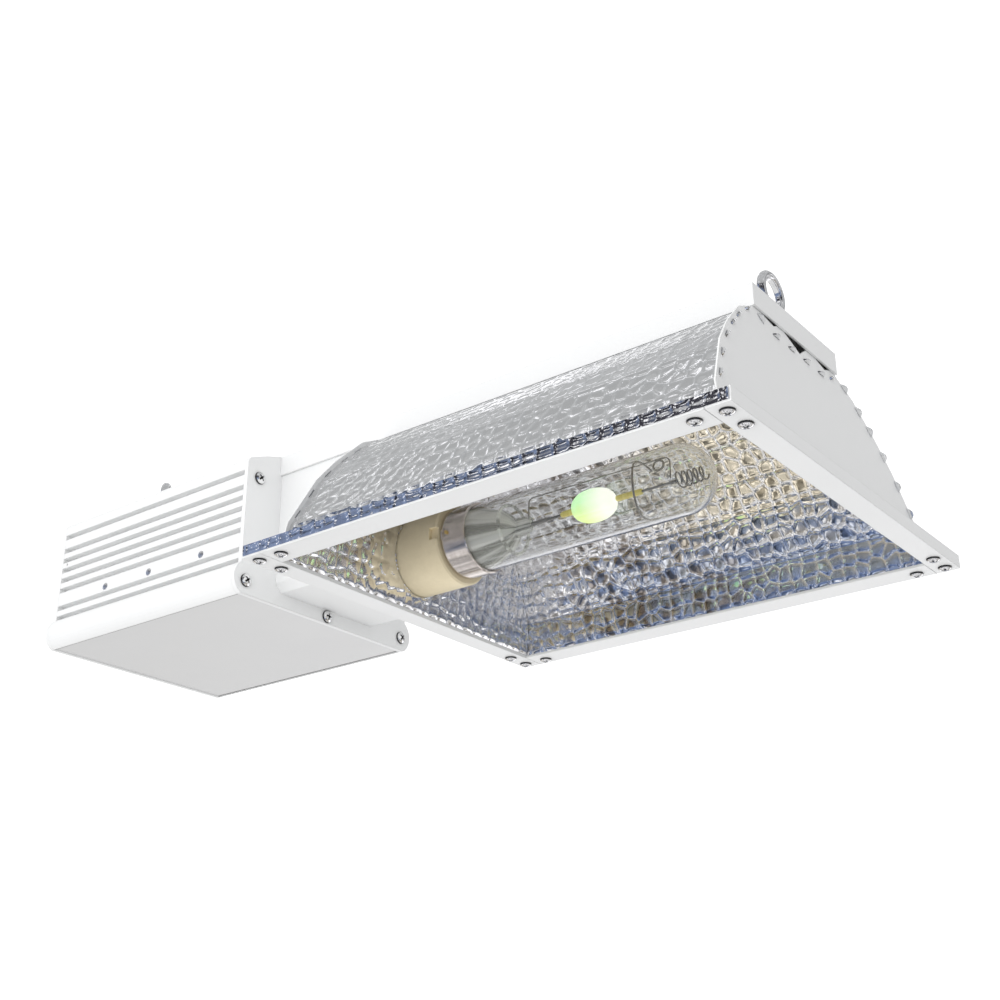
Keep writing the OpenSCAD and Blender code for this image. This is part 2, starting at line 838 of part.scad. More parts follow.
// Flared glass foot with a pinched tip that holds the two wires
module glass_stem() {
    wall_t = 1.1;
    color("aliceblue", 0.4) from_rim() {
        turned_on_lamp()
            polygon([[17.8, glass_back], [17.8, -80], [13, -66], [7, -60.5], [4, -58], [0, -58],
                     [0, -60], [5, -62], [11.4, -67.2], [16.6, -81], [16.6, glass_back]]);
        translate([-60, -2, lamp_z - press_half]) cube([press_tip + 60, 4, 2 * press_half]);
    }
}

module arc_tube() {
    body_r = 9.4;
    half_l = 13.4;
    turns = [for (a = [-90 : 10 : 90]) [body_r * pow(cos(a), 0.7), arc_x + half_l * sin(a)]];
    color("palegreen") from_rim() {
        turned_on_lamp() polygon(concat(turns, [[0, arc_x + half_l], [0, arc_x - half_l]]));
        bar_x(arc_x + half_l - 1, neck_tip, 1.5, 0, lamp_z);
        bar_x(-33, arc_x - half_l + 1, 1.5, 0, lamp_z);
    }
}

module arc_tube_leads() {
    color("dimgray") from_rim() {
        bar_x(neck_tip, hook_x - wire_r - 0.05, lead_wire_r, 0, lamp_z);
        bar_x(press_tip, -33, lead_wire_r, 0, lamp_z);
    }
}

// Return wire along the glass, with a loop that steadies it against the tube
module support_wire() {
    foot_x = -50;
    color("silver") from_rim() translate([0, 0, lamp_z]) {
        bar_x(foot_x, hook_x, wire_r, 0, wire_run);
        translate([foot_x, 0, press_half]) cylinder(h = wire_run - press_half, r = wire_r);
        translate([hook_x, 0, 0]) cylinder(h = wire_run, r = wire_r);
        for (x = [foot_x, hook_x]) translate([x, 0, wire_run]) sphere(wire_r);
        translate([29, 0, 0]) rotate([0, 90, 0]) rotate([0, 0, 180])
            rotate_extrude(angle = 270) translate([wire_run, 0]) circle(wire_r, $fn = 16);
    }
}

// Centre of the spring's wire at step i; the coil narrows towards the glass tip
function spring_centre(i) =
    let (a = 360 * i / spring_steps, r = spring_r - 0.02 * i)
    [hook_x + 4 + spring_pitch * i / spring_steps, r * cos(a), r * sin(a)];
function spring_point(i, k) =
    let (a = 360 * i / spring_steps, b = 360 * k / spring_sides)
    spring_centre(i) + spring_wire_r * [cos(b), sin(b) * cos(a), sin(b) * sin(a)];

// Coil spring at the lamp's far end
module end_spring() {
    last = spring_turns * spring_steps;
    points = [for (i = [0 : last], k = [0 : spring_sides - 1]) spring_point(i, k)];
    around = [for (i = [0 : last - 1], k = [0 : spring_sides - 1])
        let (n = (k + 1) % spring_sides, a = i * spring_sides, b = a + spring_sides)
        [a + k, a + n, b + n, b + k]];
    first_cap = [for (k = [spring_sides - 1 : -1 : 0]) k];
    last_cap = [for (k = [0 : spring_sides - 1]) last * spring_sides + k];
    color("silver") from_rim() translate([0, 0, lamp_z])
        polyhedron(points, concat([first_cap], around, [last_cap]), convexity = 8);
}

module getter() {
    ring_r = 3;
    tube_r = 0.6;
    drop = wire_run - wire_r - ring_r - tube_r;
    color("dimgray") from_rim() translate([36, 0, lamp_z + drop]) rotate([90, 0, 0])
        rotate_extrude() translate([ring_r, 0]) circle(tube_r, $fn = 16);
}

ballast_housing();
ballast_bottom_cover();
ballast_front_plate();
ballast_rear_plate();
front_plate_screws();
rear_plate_screws();
heat_spreader();
spreader_rivets();
power_transistors();
ballast_circuit_board();
board_standoffs();
choke_core();
choke_winding();
smoothing_capacitors();
power_inlet();
inlet_pins();
neck_cover();
neck_screws();
socket_bracket();
bracket_screws();
lampholder();
lampholder_contacts();
lampholder_screws();
lampholder_leads();
top_channel();
channel_saddles();
channel_rivets();
reflector_sheet();
far_end_plate();
near_end_plate();
far_end_liner();
near_end_liner();
left_rim_bar();
right_rim_bar();
corner_brackets();
corner_screws();
front_hanging_eye();
front_eye_nut();
front_eye_washers();
rear_hanging_eye();
rear_eye_nuts();
rear_eye_washers();
lamp_glass();
lamp_base_shell();
lamp_base_insulator();
lamp_pins();
base_rivet();
glass_stem();
arc_tube();
arc_tube_leads();
support_wire();
end_spring();
getter();
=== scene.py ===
# %% [markdown]
# # A hanging grow lamp
# A finned white ballast, a neck and an open reflector of hammered aluminium that carries a
# tubular discharge lamp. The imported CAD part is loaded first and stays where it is. Plates,
# panels and castings keep their CAD shape and get a finish. The hammered sheet, the screws,
# the eyes and the lamp's glass and wires are surfaces worked out here with numpy.

# %% The fixed frame
import json
import math

import bmesh
import bpy
import numpy as np
from mathutils import Matrix


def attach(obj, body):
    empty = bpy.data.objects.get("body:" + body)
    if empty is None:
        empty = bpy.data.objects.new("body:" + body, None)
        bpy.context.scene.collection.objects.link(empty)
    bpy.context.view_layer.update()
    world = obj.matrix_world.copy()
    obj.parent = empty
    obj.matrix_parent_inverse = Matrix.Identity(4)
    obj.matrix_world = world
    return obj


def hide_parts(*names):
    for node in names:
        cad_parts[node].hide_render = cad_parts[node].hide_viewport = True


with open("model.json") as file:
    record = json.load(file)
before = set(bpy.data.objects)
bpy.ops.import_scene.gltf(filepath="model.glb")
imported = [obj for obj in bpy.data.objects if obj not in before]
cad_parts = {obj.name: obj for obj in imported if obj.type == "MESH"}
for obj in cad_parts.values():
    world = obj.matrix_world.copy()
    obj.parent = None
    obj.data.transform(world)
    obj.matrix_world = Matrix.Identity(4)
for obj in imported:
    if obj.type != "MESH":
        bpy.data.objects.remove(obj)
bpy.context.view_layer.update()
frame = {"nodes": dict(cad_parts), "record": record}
NODES = frame["nodes"]

# %% [markdown]
# Heights are easiest to read from the underside of the rim, as on a drawing of the fixture,
# so sizes are given in millimetres from there and moved into the frame by one function.

# %% From drawing sizes to the frame
MM = 0.001
RIM = np.array([130.5, 0.0, -131.25])


def place(points):
    """Drawing point in millimetres from the rim's centre -> frame point in metres."""
    return (np.asarray(points, float) + RIM) * MM


LAMP_Z = 35.5
LEAN = 0.15
MOUTH_X = 134.0
SHEET_T = 0.8
HAMMER_SEED = 7
print("lamp axis height in the frame:", place([0, 0, LAMP_Z])[2])

# %% [markdown]
# Every new piece goes into the scene in the same way: points and faces become a mesh, the
# mesh gets its materials, and the piece rides on a CAD body, takes the finish of the slot it is
# given and may stand for CAD nodes, which it hides.

# %% From arrays to a piece


def piece(name, points, faces, body, slot, stands_for=(), materials=None, index=None,
          crease=35.0, cells=None):
    """Mesh object from a point array and a quad array, in metres. Its materials are the slot's own
    finish unless others are given. index is one material number a face, and cells one value a
    point, kept as the attribute "cell". Points that coincide, as at poles, are welded, and edges
    bent past crease degrees stay sharp."""
    mesh = bpy.data.meshes.new(name)
    points = np.asarray(points, float).reshape(-1, 3)
    faces = np.asarray(faces)
    mesh.from_pydata([tuple(p) for p in points.tolist()], [], faces.tolist())
    for m in materials or [FINISH[slot]]:
        mesh.materials.append(m)
    if index is not None:
        mesh.polygons.foreach_set("material_index", np.asarray(index, np.int32))
    if cells is not None:
        kept = mesh.attributes.new("cell", "FLOAT", "POINT")
        kept.data.foreach_set("value", np.ravel(cells).astype(np.float32))
    welded = bmesh.new()
    welded.from_mesh(mesh)
    bmesh.ops.remove_doubles(welded, verts=welded.verts, dist=2e-7)
    welded.to_mesh(mesh)
    welded.free()
    mesh.polygons.foreach_set("use_smooth", np.full(len(mesh.polygons), True))
    mesh.set_sharp_from_angle(angle=math.radians(crease))
    mesh.update()
    obj = bpy.data.objects.new(name, mesh)
    bpy.context.scene.collection.objects.link(obj)
    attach(obj, body)
    if stands_for:
        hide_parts(*stands_for)
    print(f"{name}: {len(points)} points, {len(faces)} faces")
    return obj


def grid_faces(rows, cols, wrap_rows=False, wrap_cols=False):
    """Quads of a rows x cols grid of points; a wrapped direction joins its last row to its first."""
    i = np.arange(rows if wrap_rows else rows - 1)
    j = np.arange(cols if wrap_cols else cols - 1)
    i, j = np.meshgrid(i, j, indexing="ij")
    i2, j2 = (i + 1) % rows, (j + 1) % cols
    return np.stack([i * cols + j, i2 * cols + j, i2 * cols + j2, i * cols + j2], -1).reshape(-1, 4)


def join(parts):
    """Several (points, quads) pairs as one pair, each part's faces counted on from the last."""
    start = np.cumsum([0] + [len(p) for p, _ in parts])[:-1]
    return (np.concatenate([p for p, _ in parts]),
            np.concatenate([f + s for (_, f), s in zip(parts, start)]))


def outward(part):
    """The same (points, quads) closed shape with its faces turned to point out of it: its signed
    volume, the sum of p0 . (p1 x p2) / 6 over its triangles, comes out above zero."""
    points, quads = part
    points = np.asarray(points, float).reshape(-1, 3)
    tris = np.concatenate([quads[:, [0, 1, 2]], quads[:, [0, 2, 3]]])
    a, b, c = (points[tris[:, k]] for k in range(3))
    volume = np.einsum("ij,ij->i", a, np.cross(b, c)).sum()
    return points, (quads if volume > 0 else quads[:, ::-1])


# %% [markdown]
# Most parts are made in one of three ways: turned on a lathe, bent from round wire, or pressed
# from sheet. Each way is one function that gives a closed shape.

# %% Turned, wire and sheet shapes


def turned(profile, centre, axis, n=96, closed=False):
    """Turned shape: each (distance along the axis, radius) of a profile goes once round the axis."""
    profile = np.asarray(profile, float)
    axis = np.asarray(axis, float)
    side = np.cross(axis, [0.3, 1.0, 0.2])
    side /= np.linalg.norm(side)
    third = np.cross(axis, side)
    turn = full_turn(n)
    round_it = np.cos(turn)[:, None] * side + np.sin(turn)[:, None] * third
    points = (np.asarray(centre, float) + profile[:, 0, None, None] * axis
              + profile[:, 1, None, None] * round_it[None])
    return outward((points, grid_faces(len(profile), n, wrap_rows=closed, wrap_cols=True)))


def tube(path, radius, ref, sides=12):
    """Round wire along a path: at each point a ring in the plane of two vectors, ref made square
    to the path's direction and the cross product of both. Its ends close in half-round caps."""
    path = np.asarray(path, float)
    t = np.gradient(path, axis=0)
    t /= np.linalg.norm(t, axis=1, keepdims=True)
    cap = np.sin(np.linspace(0, np.pi / 2, 5))[:-1]
    head = path[0] - t[0] * radius * (1 - cap[:, None])
    tail = path[-1] + t[-1] * radius * (1 - cap[::-1, None])
    swell = np.sqrt(1 - (1 - cap) ** 2)
    size = np.concatenate([swell, np.ones(len(path)), swell[::-1]])
    line = np.concatenate([head, path, tail])
    t = np.concatenate([np.repeat(t[:1], 4, 0), t, np.repeat(t[-1:], 4, 0)])
    ref = np.asarray(ref, float)
    if ref.ndim == 2:
        ref = np.concatenate([np.repeat(ref[:1], 4, 0), ref, np.repeat(ref[-1:], 4, 0)])
    a = ref - (t * ref).sum(-1, keepdims=True) * t
    a /= np.linalg.norm(a, axis=1, keepdims=True)
    b = np.cross(t, a)
    turn = full_turn(sides)
    rings = np.cos(turn)[None, :, None] * a[:, None] + np.sin(turn)[None, :, None] * b[:, None]
    points = line[:, None] + radius * size[:, None, None] * rings
    return outward((points, grid_faces(len(line), sides, wrap_cols=True)))


def shell(front, back):
    """Closed sheet from two grids of the same size: front faces, back faces turned round, and a
    strip of quads along each border. Also gives 0 for each front face and 1 for the others."""
    rows, cols = front.shape[:2]
    n = rows * cols
    f = grid_faces(rows, cols)
    border = np.concatenate([np.arange(cols), np.arange(2, rows) * cols - 1, n - 1 - np.arange(cols),
                             np.arange(rows - 2, 0, -1) * cols])
    nxt = np.roll(border, -1)
    rim = np.stack([border, border + n, nxt + n, nxt], -1)
    quads = np.concatenate([f, f[:, ::-1] + n, rim[:, ::-1]])
    points, quads = outward((np.concatenate([front.reshape(-1, 3), back.reshape(-1, 3)]), quads))
    return points, quads, np.concatenate([np.zeros(len(f)), np.ones(len(f) + len(rim))])


def full_turn(n):
    """n even angles round a full turn, in radians."""
    return np.linspace(0, 2 * np.pi, n, endpoint=False)


def smoothstep(x):
    """0 below 0, 1 above 1, and 3x^2 - 2x^3 between them."""
    x = np.clip(x, 0, 1)
    return x * x * (3 - 2 * x)


# %% [markdown]
# ## Finishes
# Effects that several finishes share are shader groups: the fine orange peel of powder coat,
# the soft edge of a bent or moulded part, which the finishes lighten as a painted highlight, a
# film of dust on what faces up, the fine lines of drawn or brushed metal. Each gives out colours,
# masks, values or normals, and the shader itself stays in the material.

# %% Helpers for node trees


class Tree:
    """A node tree with short calls: add a node, set its inputs, link sockets. An input is called by
    its name, or by i and its number where names repeat."""

    def __init__(self, tree):
        self.t = tree

    def add(self, kind, props=None, **inputs):
        node = self.t.nodes.new(kind)
        for k, v in (props or {}).items():
            setattr(node, k, v)
        for k, v in inputs.items():
            self.put(node, k.replace("_", " "), v)
        return node

    def put(self, node, name, value):
        numbered = name[0] == "i" and name[1:].isdigit()
        socket = node.inputs[int(name[1:]) if numbered else name]
        if isinstance(value, bpy.types.NodeSocket):
            self.t.links.new(value, socket)
        else:
            socket.default_value = value

    def math(self, op, a, b=0.0, clamp=False):
        node = self.add("ShaderNodeMath", {"operation": op, "use_clamp": clamp}, i0=a, i1=b)
        return node.outputs[0]

    def times(self, a, b, clamp=False):
        return self.math("MULTIPLY", a, b, clamp)

    def plus(self, a, b, clamp=False):
        return self.math("ADD", a, b, clamp)

    def mix(self, factor, a, b, blend="MIX"):
        node = self.add("ShaderNodeMix", {"data_type": "RGBA", "blend_type": blend})
        self.put(node, "i0", factor)
        self.put(node, "i6", a)
        self.put(node, "i7", b)
        return node.outputs[2]

    def ramp(self, value, low, high, out_low=0.0, out_high=1.0):
        node = self.add("ShaderNodeMapRange", {"clamp": True}, Value=value)
        names = ("From Min", "From Max", "To Min", "To Max")
        for name, v in zip(names, (low, high, out_low, out_high)):
            node.inputs[name].default_value = v
        return node.outputs[0]

    def noise(self, vector, scale, detail=2.0, rough=0.5):
        node = self.add("ShaderNodeTexNoise", Vector=vector, Scale=scale, Detail=detail, Roughness=rough)
        return node.outputs["Fac"]

    def coords(self):
        return self.add("ShaderNodeTexCoord").outputs["Object"]

    def split(self, vector):
        return self.add("ShaderNodeSeparateXYZ", Vector=vector).outputs

    def grey(self, value):
        return self.add("ShaderNodeCombineColor", Red=value, Green=value, Blue=value).outputs[0]

    def stretched(self, vector, scale):
        return self.add("ShaderNodeMapping", Vector=vector, Scale=scale).outputs[0]

    def bump(self, height, strength, distance, normal=None):
        node = self.add("ShaderNodeBump", Height=height, Strength=strength, Distance=distance)
        if normal is not None:
            self.put(node, "Normal", normal)
        return node.outputs[0]


def group(name, inputs, outputs):
    """New shader group with named sockets. Gives its tree, its input node's sockets and its output
    node."""
    g = bpy.data.node_groups.new(name, "ShaderNodeTree")
    for n, kind, default in inputs:
        s = g.interface.new_socket(n, in_out="INPUT", socket_type=kind)
        s.default_value = default
    for n, kind in outputs:
        g.interface.new_socket(n, in_out="OUTPUT", socket_type=kind)
    t = Tree(g)
    return t, t.add("NodeGroupInput").outputs, t.add("NodeGroupOutput")


def use(t, name, **inputs):
    """Places a shader group in a tree with its own values and gives its outputs."""
    node = t.add("ShaderNodeGroup", {"node_tree": bpy.data.node_groups[name]})
    for k, v in inputs.items():
        t.put(node, k.replace("_", " "), v)
    return node.outputs


FLOAT, COLOUR, VECTOR = "NodeSocketFloat", "NodeSocketColor", "NodeSocketVector"

# %% Shared effects
PEEL_IN = [("Scale", FLOAT, 900.0), ("Colour", COLOUR, (0.9, 0.9, 0.9, 1)), ("Spread", FLOAT, 0.03)]
t, gin, gout = group("orange_peel", PEEL_IN,
                     [("Colour", COLOUR), ("Height", FLOAT), ("Roughness", FLOAT)])
co = t.coords()
peel = t.noise(co, gin["Scale"], 3.0, 0.55)
cloud = t.noise(co, 14.0, 3.0, 0.6)
t.put(gout, "Colour", t.mix(t.times(cloud, gin["Spread"]), gin["Colour"], (0.55, 0.56, 0.58, 1)))
t.put(gout, "Height", peel)
t.put(gout, "Roughness", t.ramp(cloud, 0.3, 0.7, 0.34, 0.46))

t, gin, gout = group("soft_edge", [("Radius", FLOAT, 0.0006), ("Gain", FLOAT, 4.0)],
                     [("Normal", VECTOR), ("Mask", FLOAT)])
bevel = t.add("ShaderNodeBevel", {"samples": 4}, Radius=gin["Radius"]).outputs[0]
flat = t.add("ShaderNodeNewGeometry").outputs["True Normal"]
dot = t.add("ShaderNodeVectorMath", {"operation": "DOT_PRODUCT"}, i0=bevel, i1=flat).outputs["Value"]
t.put(gout, "Normal", bevel)
t.put(gout, "Mask", t.times(t.math("SUBTRACT", 1.0, dot), gin["Gain"], True))

t, gin, gout = group("dust", [("Amount", FLOAT, 0.3)], [("Mask", FLOAT)])
co = t.coords()
up = t.split(t.add("ShaderNodeNewGeometry").outputs["Normal"])["Z"]
specks = t.ramp(t.noise(co, 260.0, 5.0, 0.7), 0.42, 0.72)
t.put(gout, "Mask", t.times(t.times(t.ramp(up, 0.25, 0.95), specks), gin["Amount"]))

t, gin, gout = group("fine_lines", [("Scale", FLOAT, 60.0), ("Along", VECTOR, (1, 18, 18))],
                     [("Value", FLOAT), ("Height", FLOAT)])
co = t.coords()
m = t.add("ShaderNodeVectorMath", {"operation": "MULTIPLY"}, i0=co, i1=gin["Along"]).outputs[0]
lines = t.noise(m, gin["Scale"], 4.0, 0.65)
blotch = t.noise(co, 90.0, 3.0, 0.6)
t.put(gout, "Value", t.plus(t.times(lines, 0.6), t.times(blotch, 0.4)))
t.put(gout, "Height", lines)
print("shader groups:", [g.name for g in bpy.data.node_groups])

# %% [markdown]
# A finish starts as a Principled shader with its plain numbers on its own sockets, and the
# groups then feed its colour, roughness and normal.

# %% Starting a finish


def finish(name, **values):
    """New material: its tree, its Principled node, with plain values on the shader's sockets."""
    mat = bpy.data.materials.new(name)
    mat.use_nodes = True
    tree = Tree(mat.node_tree)
    shader = mat.node_tree.nodes["Principled BSDF"]
    for k, v in values.items():
        shader.inputs[k.replace("_", " ")].default_value = v
    return mat, tree, shader


def lighter(colour, gain):
    """A colour times a gain, no channel above 1, as four values."""
    return tuple(min(1.0, c * gain) for c in colour) + (1,)


def coated(name, colour, spread, depth, scale=900.0, dusty=0.12):
    """Powder coat: orange peel, faint cloudiness, soft edges lightened as a painted highlight and a
    little dust on top.
    """
    mat, t, s = finish(name, Specular_IOR_Level=0.42)
    peel = use(t, "orange_peel", Scale=scale, Colour=(*colour, 1), Spread=spread)
    edge = use(t, "soft_edge", Radius=0.0007)
    dust = use(t, "dust", Amount=dusty)
    # Painted highlight: the soft edges are mixed towards a lighter colour.
    base = t.mix(edge["Mask"], peel["Colour"], lighter(colour, 1.04))
    t.put(s, "Base Color", t.mix(dust["Mask"], base, (0.62, 0.60, 0.56, 1)))
    t.put(s, "Roughness", t.plus(peel["Roughness"], t.times(dust["Mask"], 0.5)))
    t.put(s, "Normal", t.bump(peel["Height"], 0.16, depth, edge["Normal"]))
    return mat


def metal(name, light, dark, rough, scale=60.0, along=(1, 18, 18), depth=0.00002, edge=0.0003):
    """Drawn or plated metal: fine lines, blotches that change its gloss, edges brightened as a painted
    highlight.
    """
    mat, t, s = finish(name, Metallic=1.0)
    lines = use(t, "fine_lines", Scale=scale, Along=along)
    rim = use(t, "soft_edge", Radius=edge, Gain=3.0)
    base = t.mix(t.ramp(lines["Value"], 0.3, 0.7), (*dark, 1), (*light, 1))
    # Painted highlight: the edges are mixed towards a brighter colour.
    t.put(s, "Base Color", t.mix(rim["Mask"], base, lighter(light, 1.15)))
    t.put(s, "Roughness", t.ramp(lines["Value"], 0.3, 0.7, rough * 1.3, rough * 0.75))
    t.put(s, "Normal", t.bump(lines["Height"], 0.25, depth, rim["Normal"]))
    return mat


# %% [markdown]
# Painted parts are powder coated. Screws, brackets and wires are plated, drawn or bare metal,
# and differ in tone, gloss and in how long and fine their lines are.

# %% Painted and plated finishes
COATS = {
    "white_powder_coat": ((0.86, 0.865, 0.865), 0.10, 0.00006),
    "grey_panel": ((0.725, 0.725, 0.725), 0.14, 0.00006, 700.0),
}
METALS = {
    "zinc_steel": ((0.74, 0.73, 0.70), (0.50, 0.49, 0.47), 0.26, 130.0, (1, 1, 6)),
    "chrome_steel": ((0.86, 0.86, 0.86), (0.72, 0.72, 0.73), 0.09, 80.0, (1, 1, 1)),
    "plain_aluminium": ((0.82, 0.82, 0.82), (0.66, 0.66, 0.67), 0.34),
    "nickel_shell": ((0.74, 0.69, 0.65), (0.58, 0.53, 0.49), 0.17, 50.0, (14, 1, 1)),
    "brass": ((0.86, 0.66, 0.28), (0.62, 0.44, 0.16), 0.24, 110.0, (1, 4, 4)),
    "dark_wire": ((0.42, 0.40, 0.37), (0.22, 0.21, 0.20), 0.34, 160.0, (12, 1, 1)),
}
FINISH = {name: coated(name, *how) for name, how in COATS.items()}
FINISH.update({name: metal(name, *how) for name, how in METALS.items()})
print("painted and plated:", len(FINISH))

# %% [markdown]
# Ceramics, ferrite, plastics and shrink sleeves share one recipe: mottling between a light
# and a dark tone, fine pits, and edges that catch a little light.

# %% Fired, pressed and moulded finishes


def body_colour(name, light, dark, rough, scale, depth, specular=0.5, edge=0.0005):
    """Moulded, cast or fired stuff: two-tone mottling at its own scale, fine pits, soft edges."""
    mat, t, s = finish(name, Specular_IOR_Level=specular)
    co = t.coords()
    broad = t.noise(co, scale * 0.12, 3.0, 0.6)
    fine = t.noise(co, scale, 4.0, 0.65)
    both = t.plus(t.times(broad, 0.65), t.times(fine, 0.35))
    rim = use(t, "soft_edge", Radius=edge, Gain=2.0)
    base = t.mix(t.ramp(both, 0.35, 0.65), (*dark, 1), (*light, 1))
    t.put(s, "Base Color", t.mix(rim["Mask"], base, lighter(light, 1.12)))
    t.put(s, "Roughness", t.ramp(fine, 0.3, 0.7, rough * 0.85, rough * 1.15))
    t.put(s, "Normal", t.bump(fine, 0.22, depth, rim["Normal"]))
    return mat


CASTS = {
    "beige_ceramic": ((0.88, 0.77, 0.54), (0.80, 0.69, 0.47), 0.55, 420.0, 0.00008),
    "white_ceramic": ((0.80, 0.77, 0.69), (0.70, 0.66, 0.57), 0.5, 500.0, 0.00006),
    "ferrite": ((0.10, 0.10, 0.11), (0.05, 0.05, 0.055), 0.7, 600.0, 0.0001),
    "black_plastic": ((0.035, 0.035, 0.038), (0.02, 0.02, 0.022), 0.42, 800.0, 0.00005),
    "capacitor_sleeve": ((0.04, 0.05, 0.17), (0.02, 0.03, 0.10), 0.25, 300.0, 0.00003),
    "lead_sleeve": ((0.74, 0.73, 0.69), (0.62, 0.61, 0.57), 0.6, 500.0, 0.00005),
}
FINISH.update({name: body_colour(name, *how) for name, how in CASTS.items()})
print("with the moulded ones:", len(FINISH))

# %% [markdown]
# The choke's winding is enamelled wire, so bright turns alternate with dark gaps, painted shade
# between the turns. The circuit board is green lacquer over a weave, with paler tracks.

# %% Wound wire, circuit board
mat, t, s = finish("copper_winding", Roughness=0.38)
co = t.coords()
wave = t.add("ShaderNodeTexWave", {"bands_direction": "X"}, Vector=co, Scale=260.0, Distortion=0.6)
# Painted shade: the dark bands between the turns.
t.put(s, "Base Color", t.mix(wave.outputs["Fac"], (0.16, 0.05, 0.02, 1), (0.62, 0.28, 0.09, 1)))
t.put(s, "Metallic", t.ramp(wave.outputs["Fac"], 0.2, 0.7, 0.2, 0.9))
t.put(s, "Normal", t.bump(wave.outputs["Fac"], 0.8, 0.0004))
FINISH["copper_winding"] = mat

mat, t, s = finish("board", Specular_IOR_Level=0.5)
co = t.coords()
tracks = t.add("ShaderNodeTexBrick", {"offset": 0.37}, Vector=co, Scale=42.0)
tracks.inputs["Mortar Size"].default_value = 0.09
weave = t.noise(co, 700.0, 2.0)
green = t.mix(weave, (0.01, 0.12, 0.05, 1), (0.015, 0.17, 0.07, 1))
t.put(s, "Base Color", t.mix(tracks.outputs["Fac"], (0.03, 0.24, 0.09, 1), green))
t.put(s, "Roughness", t.ramp(weave, 0.2, 0.8, 0.25, 0.45))
t.put(s, "Normal", t.bump(tracks.outputs["Fac"], 0.4, 0.0001))
FINISH["board"] = mat

# %% [markdown]
# Hammered reflector sheet is bright anodised aluminium. Its cells are real shape in the pieces
# below, and each piece carries the attribute "cell", 0 along a cell's border and 1 inside it.
# Borders stay bright, while the middles take painted reflections of the room: blue-grey low
# down, dark patches in the middle of the length, beige high up at the far end. The outside
# gets only darker middles, also a painted reflection. The lip is clean and the glossiest.

# %% Hammered sheet
# Height and blur of the split between the low and the high painted reflection.
REFLECTION_SPLIT_Z = place([0, 0, 50])[2]
REFLECTION_BLUR = 0.012
# Painted reflections: colours of the room mirrored in the sheet, painted into its colour.
BEIGE_PAINTED_REFLECTION = (0.84, 0.75, 0.56, 1)
BLUE_PAINTED_REFLECTION = (0.42, 0.49, 0.62, 1)
DARK_PAINTED_REFLECTION = (0.24, 0.20, 0.17, 1)
# Painted reflection: darker middles for the outer side's cells.
OUTER_PAINTED_REFLECTION = (0.76, 0.76, 0.76, 1)


def with_painted_reflections(t, co, clean):
    """The clean colour under three painted reflection colours, each masked by height and by place along
    X.
    """
    xyz = t.split(co)
    height = t.plus(xyz["Z"], t.times(t.noise(co, 14.0, 2.0), 0.03))
    high = t.ramp(height, REFLECTION_SPLIT_Z - REFLECTION_BLUR, REFLECTION_SPLIT_Z + REFLECTION_BLUR)
    low = t.ramp(height, REFLECTION_SPLIT_Z + REFLECTION_BLUR, REFLECTION_SPLIT_Z - REFLECTION_BLUR)
    middle = t.times(t.ramp(xyz["X"], 0.02, 0.06, 0.3, 1.0), t.ramp(xyz["X"], 0.19, 0.13, 0.2, 1.0))
    # Painted reflection: dark patches along the middle of the length.
    dark_reflection_patches = t.times(t.ramp(t.noise(co, 110.0, 2.0), 0.47, 0.56), middle)
    colour = t.mix(t.times(low, t.ramp(xyz["X"], 0.04, 0.09)), clean, BLUE_PAINTED_REFLECTION)
    colour = t.mix(dark_reflection_patches, colour, DARK_PAINTED_REFLECTION)
    return t.mix(t.times(high, t.ramp(xyz["X"], 0.08, 0.16)), colour, BEIGE_PAINTED_REFLECTION)


def hammered(name, light, dark, rough, ripple, streak, share=0.0, middles=None):
    """Bright sheet with rolling streaks and ripples. share is how far the cells' middles go from
    its colour to that of middles, or to the painted reflection colours if there is none."""
    mat, t, s = finish(name, Metallic=1.0)
    co = t.coords()
    rolled = t.noise(t.stretched(co, (1.0, 9.0, 9.0)), streak, 4.0, 0.6)
    cell = t.add("ShaderNodeAttribute", {"attribute_name": "cell"}).outputs["Fac"]
    clean = t.mix(t.ramp(rolled, 0.35, 0.65), (*dark, 1), (*light, 1))
    # Cell middles take the painted reflection colours, and borders keep the clean colour.
    t.put(s, "Base Color", t.mix(t.times(cell, share), clean, middles or with_painted_reflections(t, co, clean)))
    t.put(s, "Roughness", t.ramp(rolled, 0.3, 0.7, rough * 1.35, rough * 0.8))
    t.put(s, "Normal", t.bump(t.noise(co, 300.0, 2.0, 0.5), ripple, 0.0005))
    return mat


INSIDE = hammered("hammered_inside", (0.93, 0.93, 0.93), (0.86, 0.86, 0.87), 0.09, 0.08, 30.0, 0.9)
LIP_SIDE = hammered("hammered_lip", (0.92, 0.92, 0.92), (0.84, 0.84, 0.85), 0.07, 0.12, 30.0)
OUTSIDE = hammered("hammered_outside", (0.93, 0.93, 0.93), (0.80, 0.81, 0.82), 0.08, 0.14, 45.0,
                   0.8, OUTER_PAINTED_REFLECTION)
FINISH["hammered_aluminium"] = INSIDE
# Height where the blue-grey painted reflection gives way to the beige one.
print("straw stain from z =", round(REFLECTION_SPLIT_Z, 4))

# %% [markdown]
# Clear glass keeps its clean Transmission. A light path switch lets lamps shine through it
# instead of casting a hard shadow. Drawn tube is never quite even, so it has faint smears and
# long shallow draw lines.

# %% Clear glass


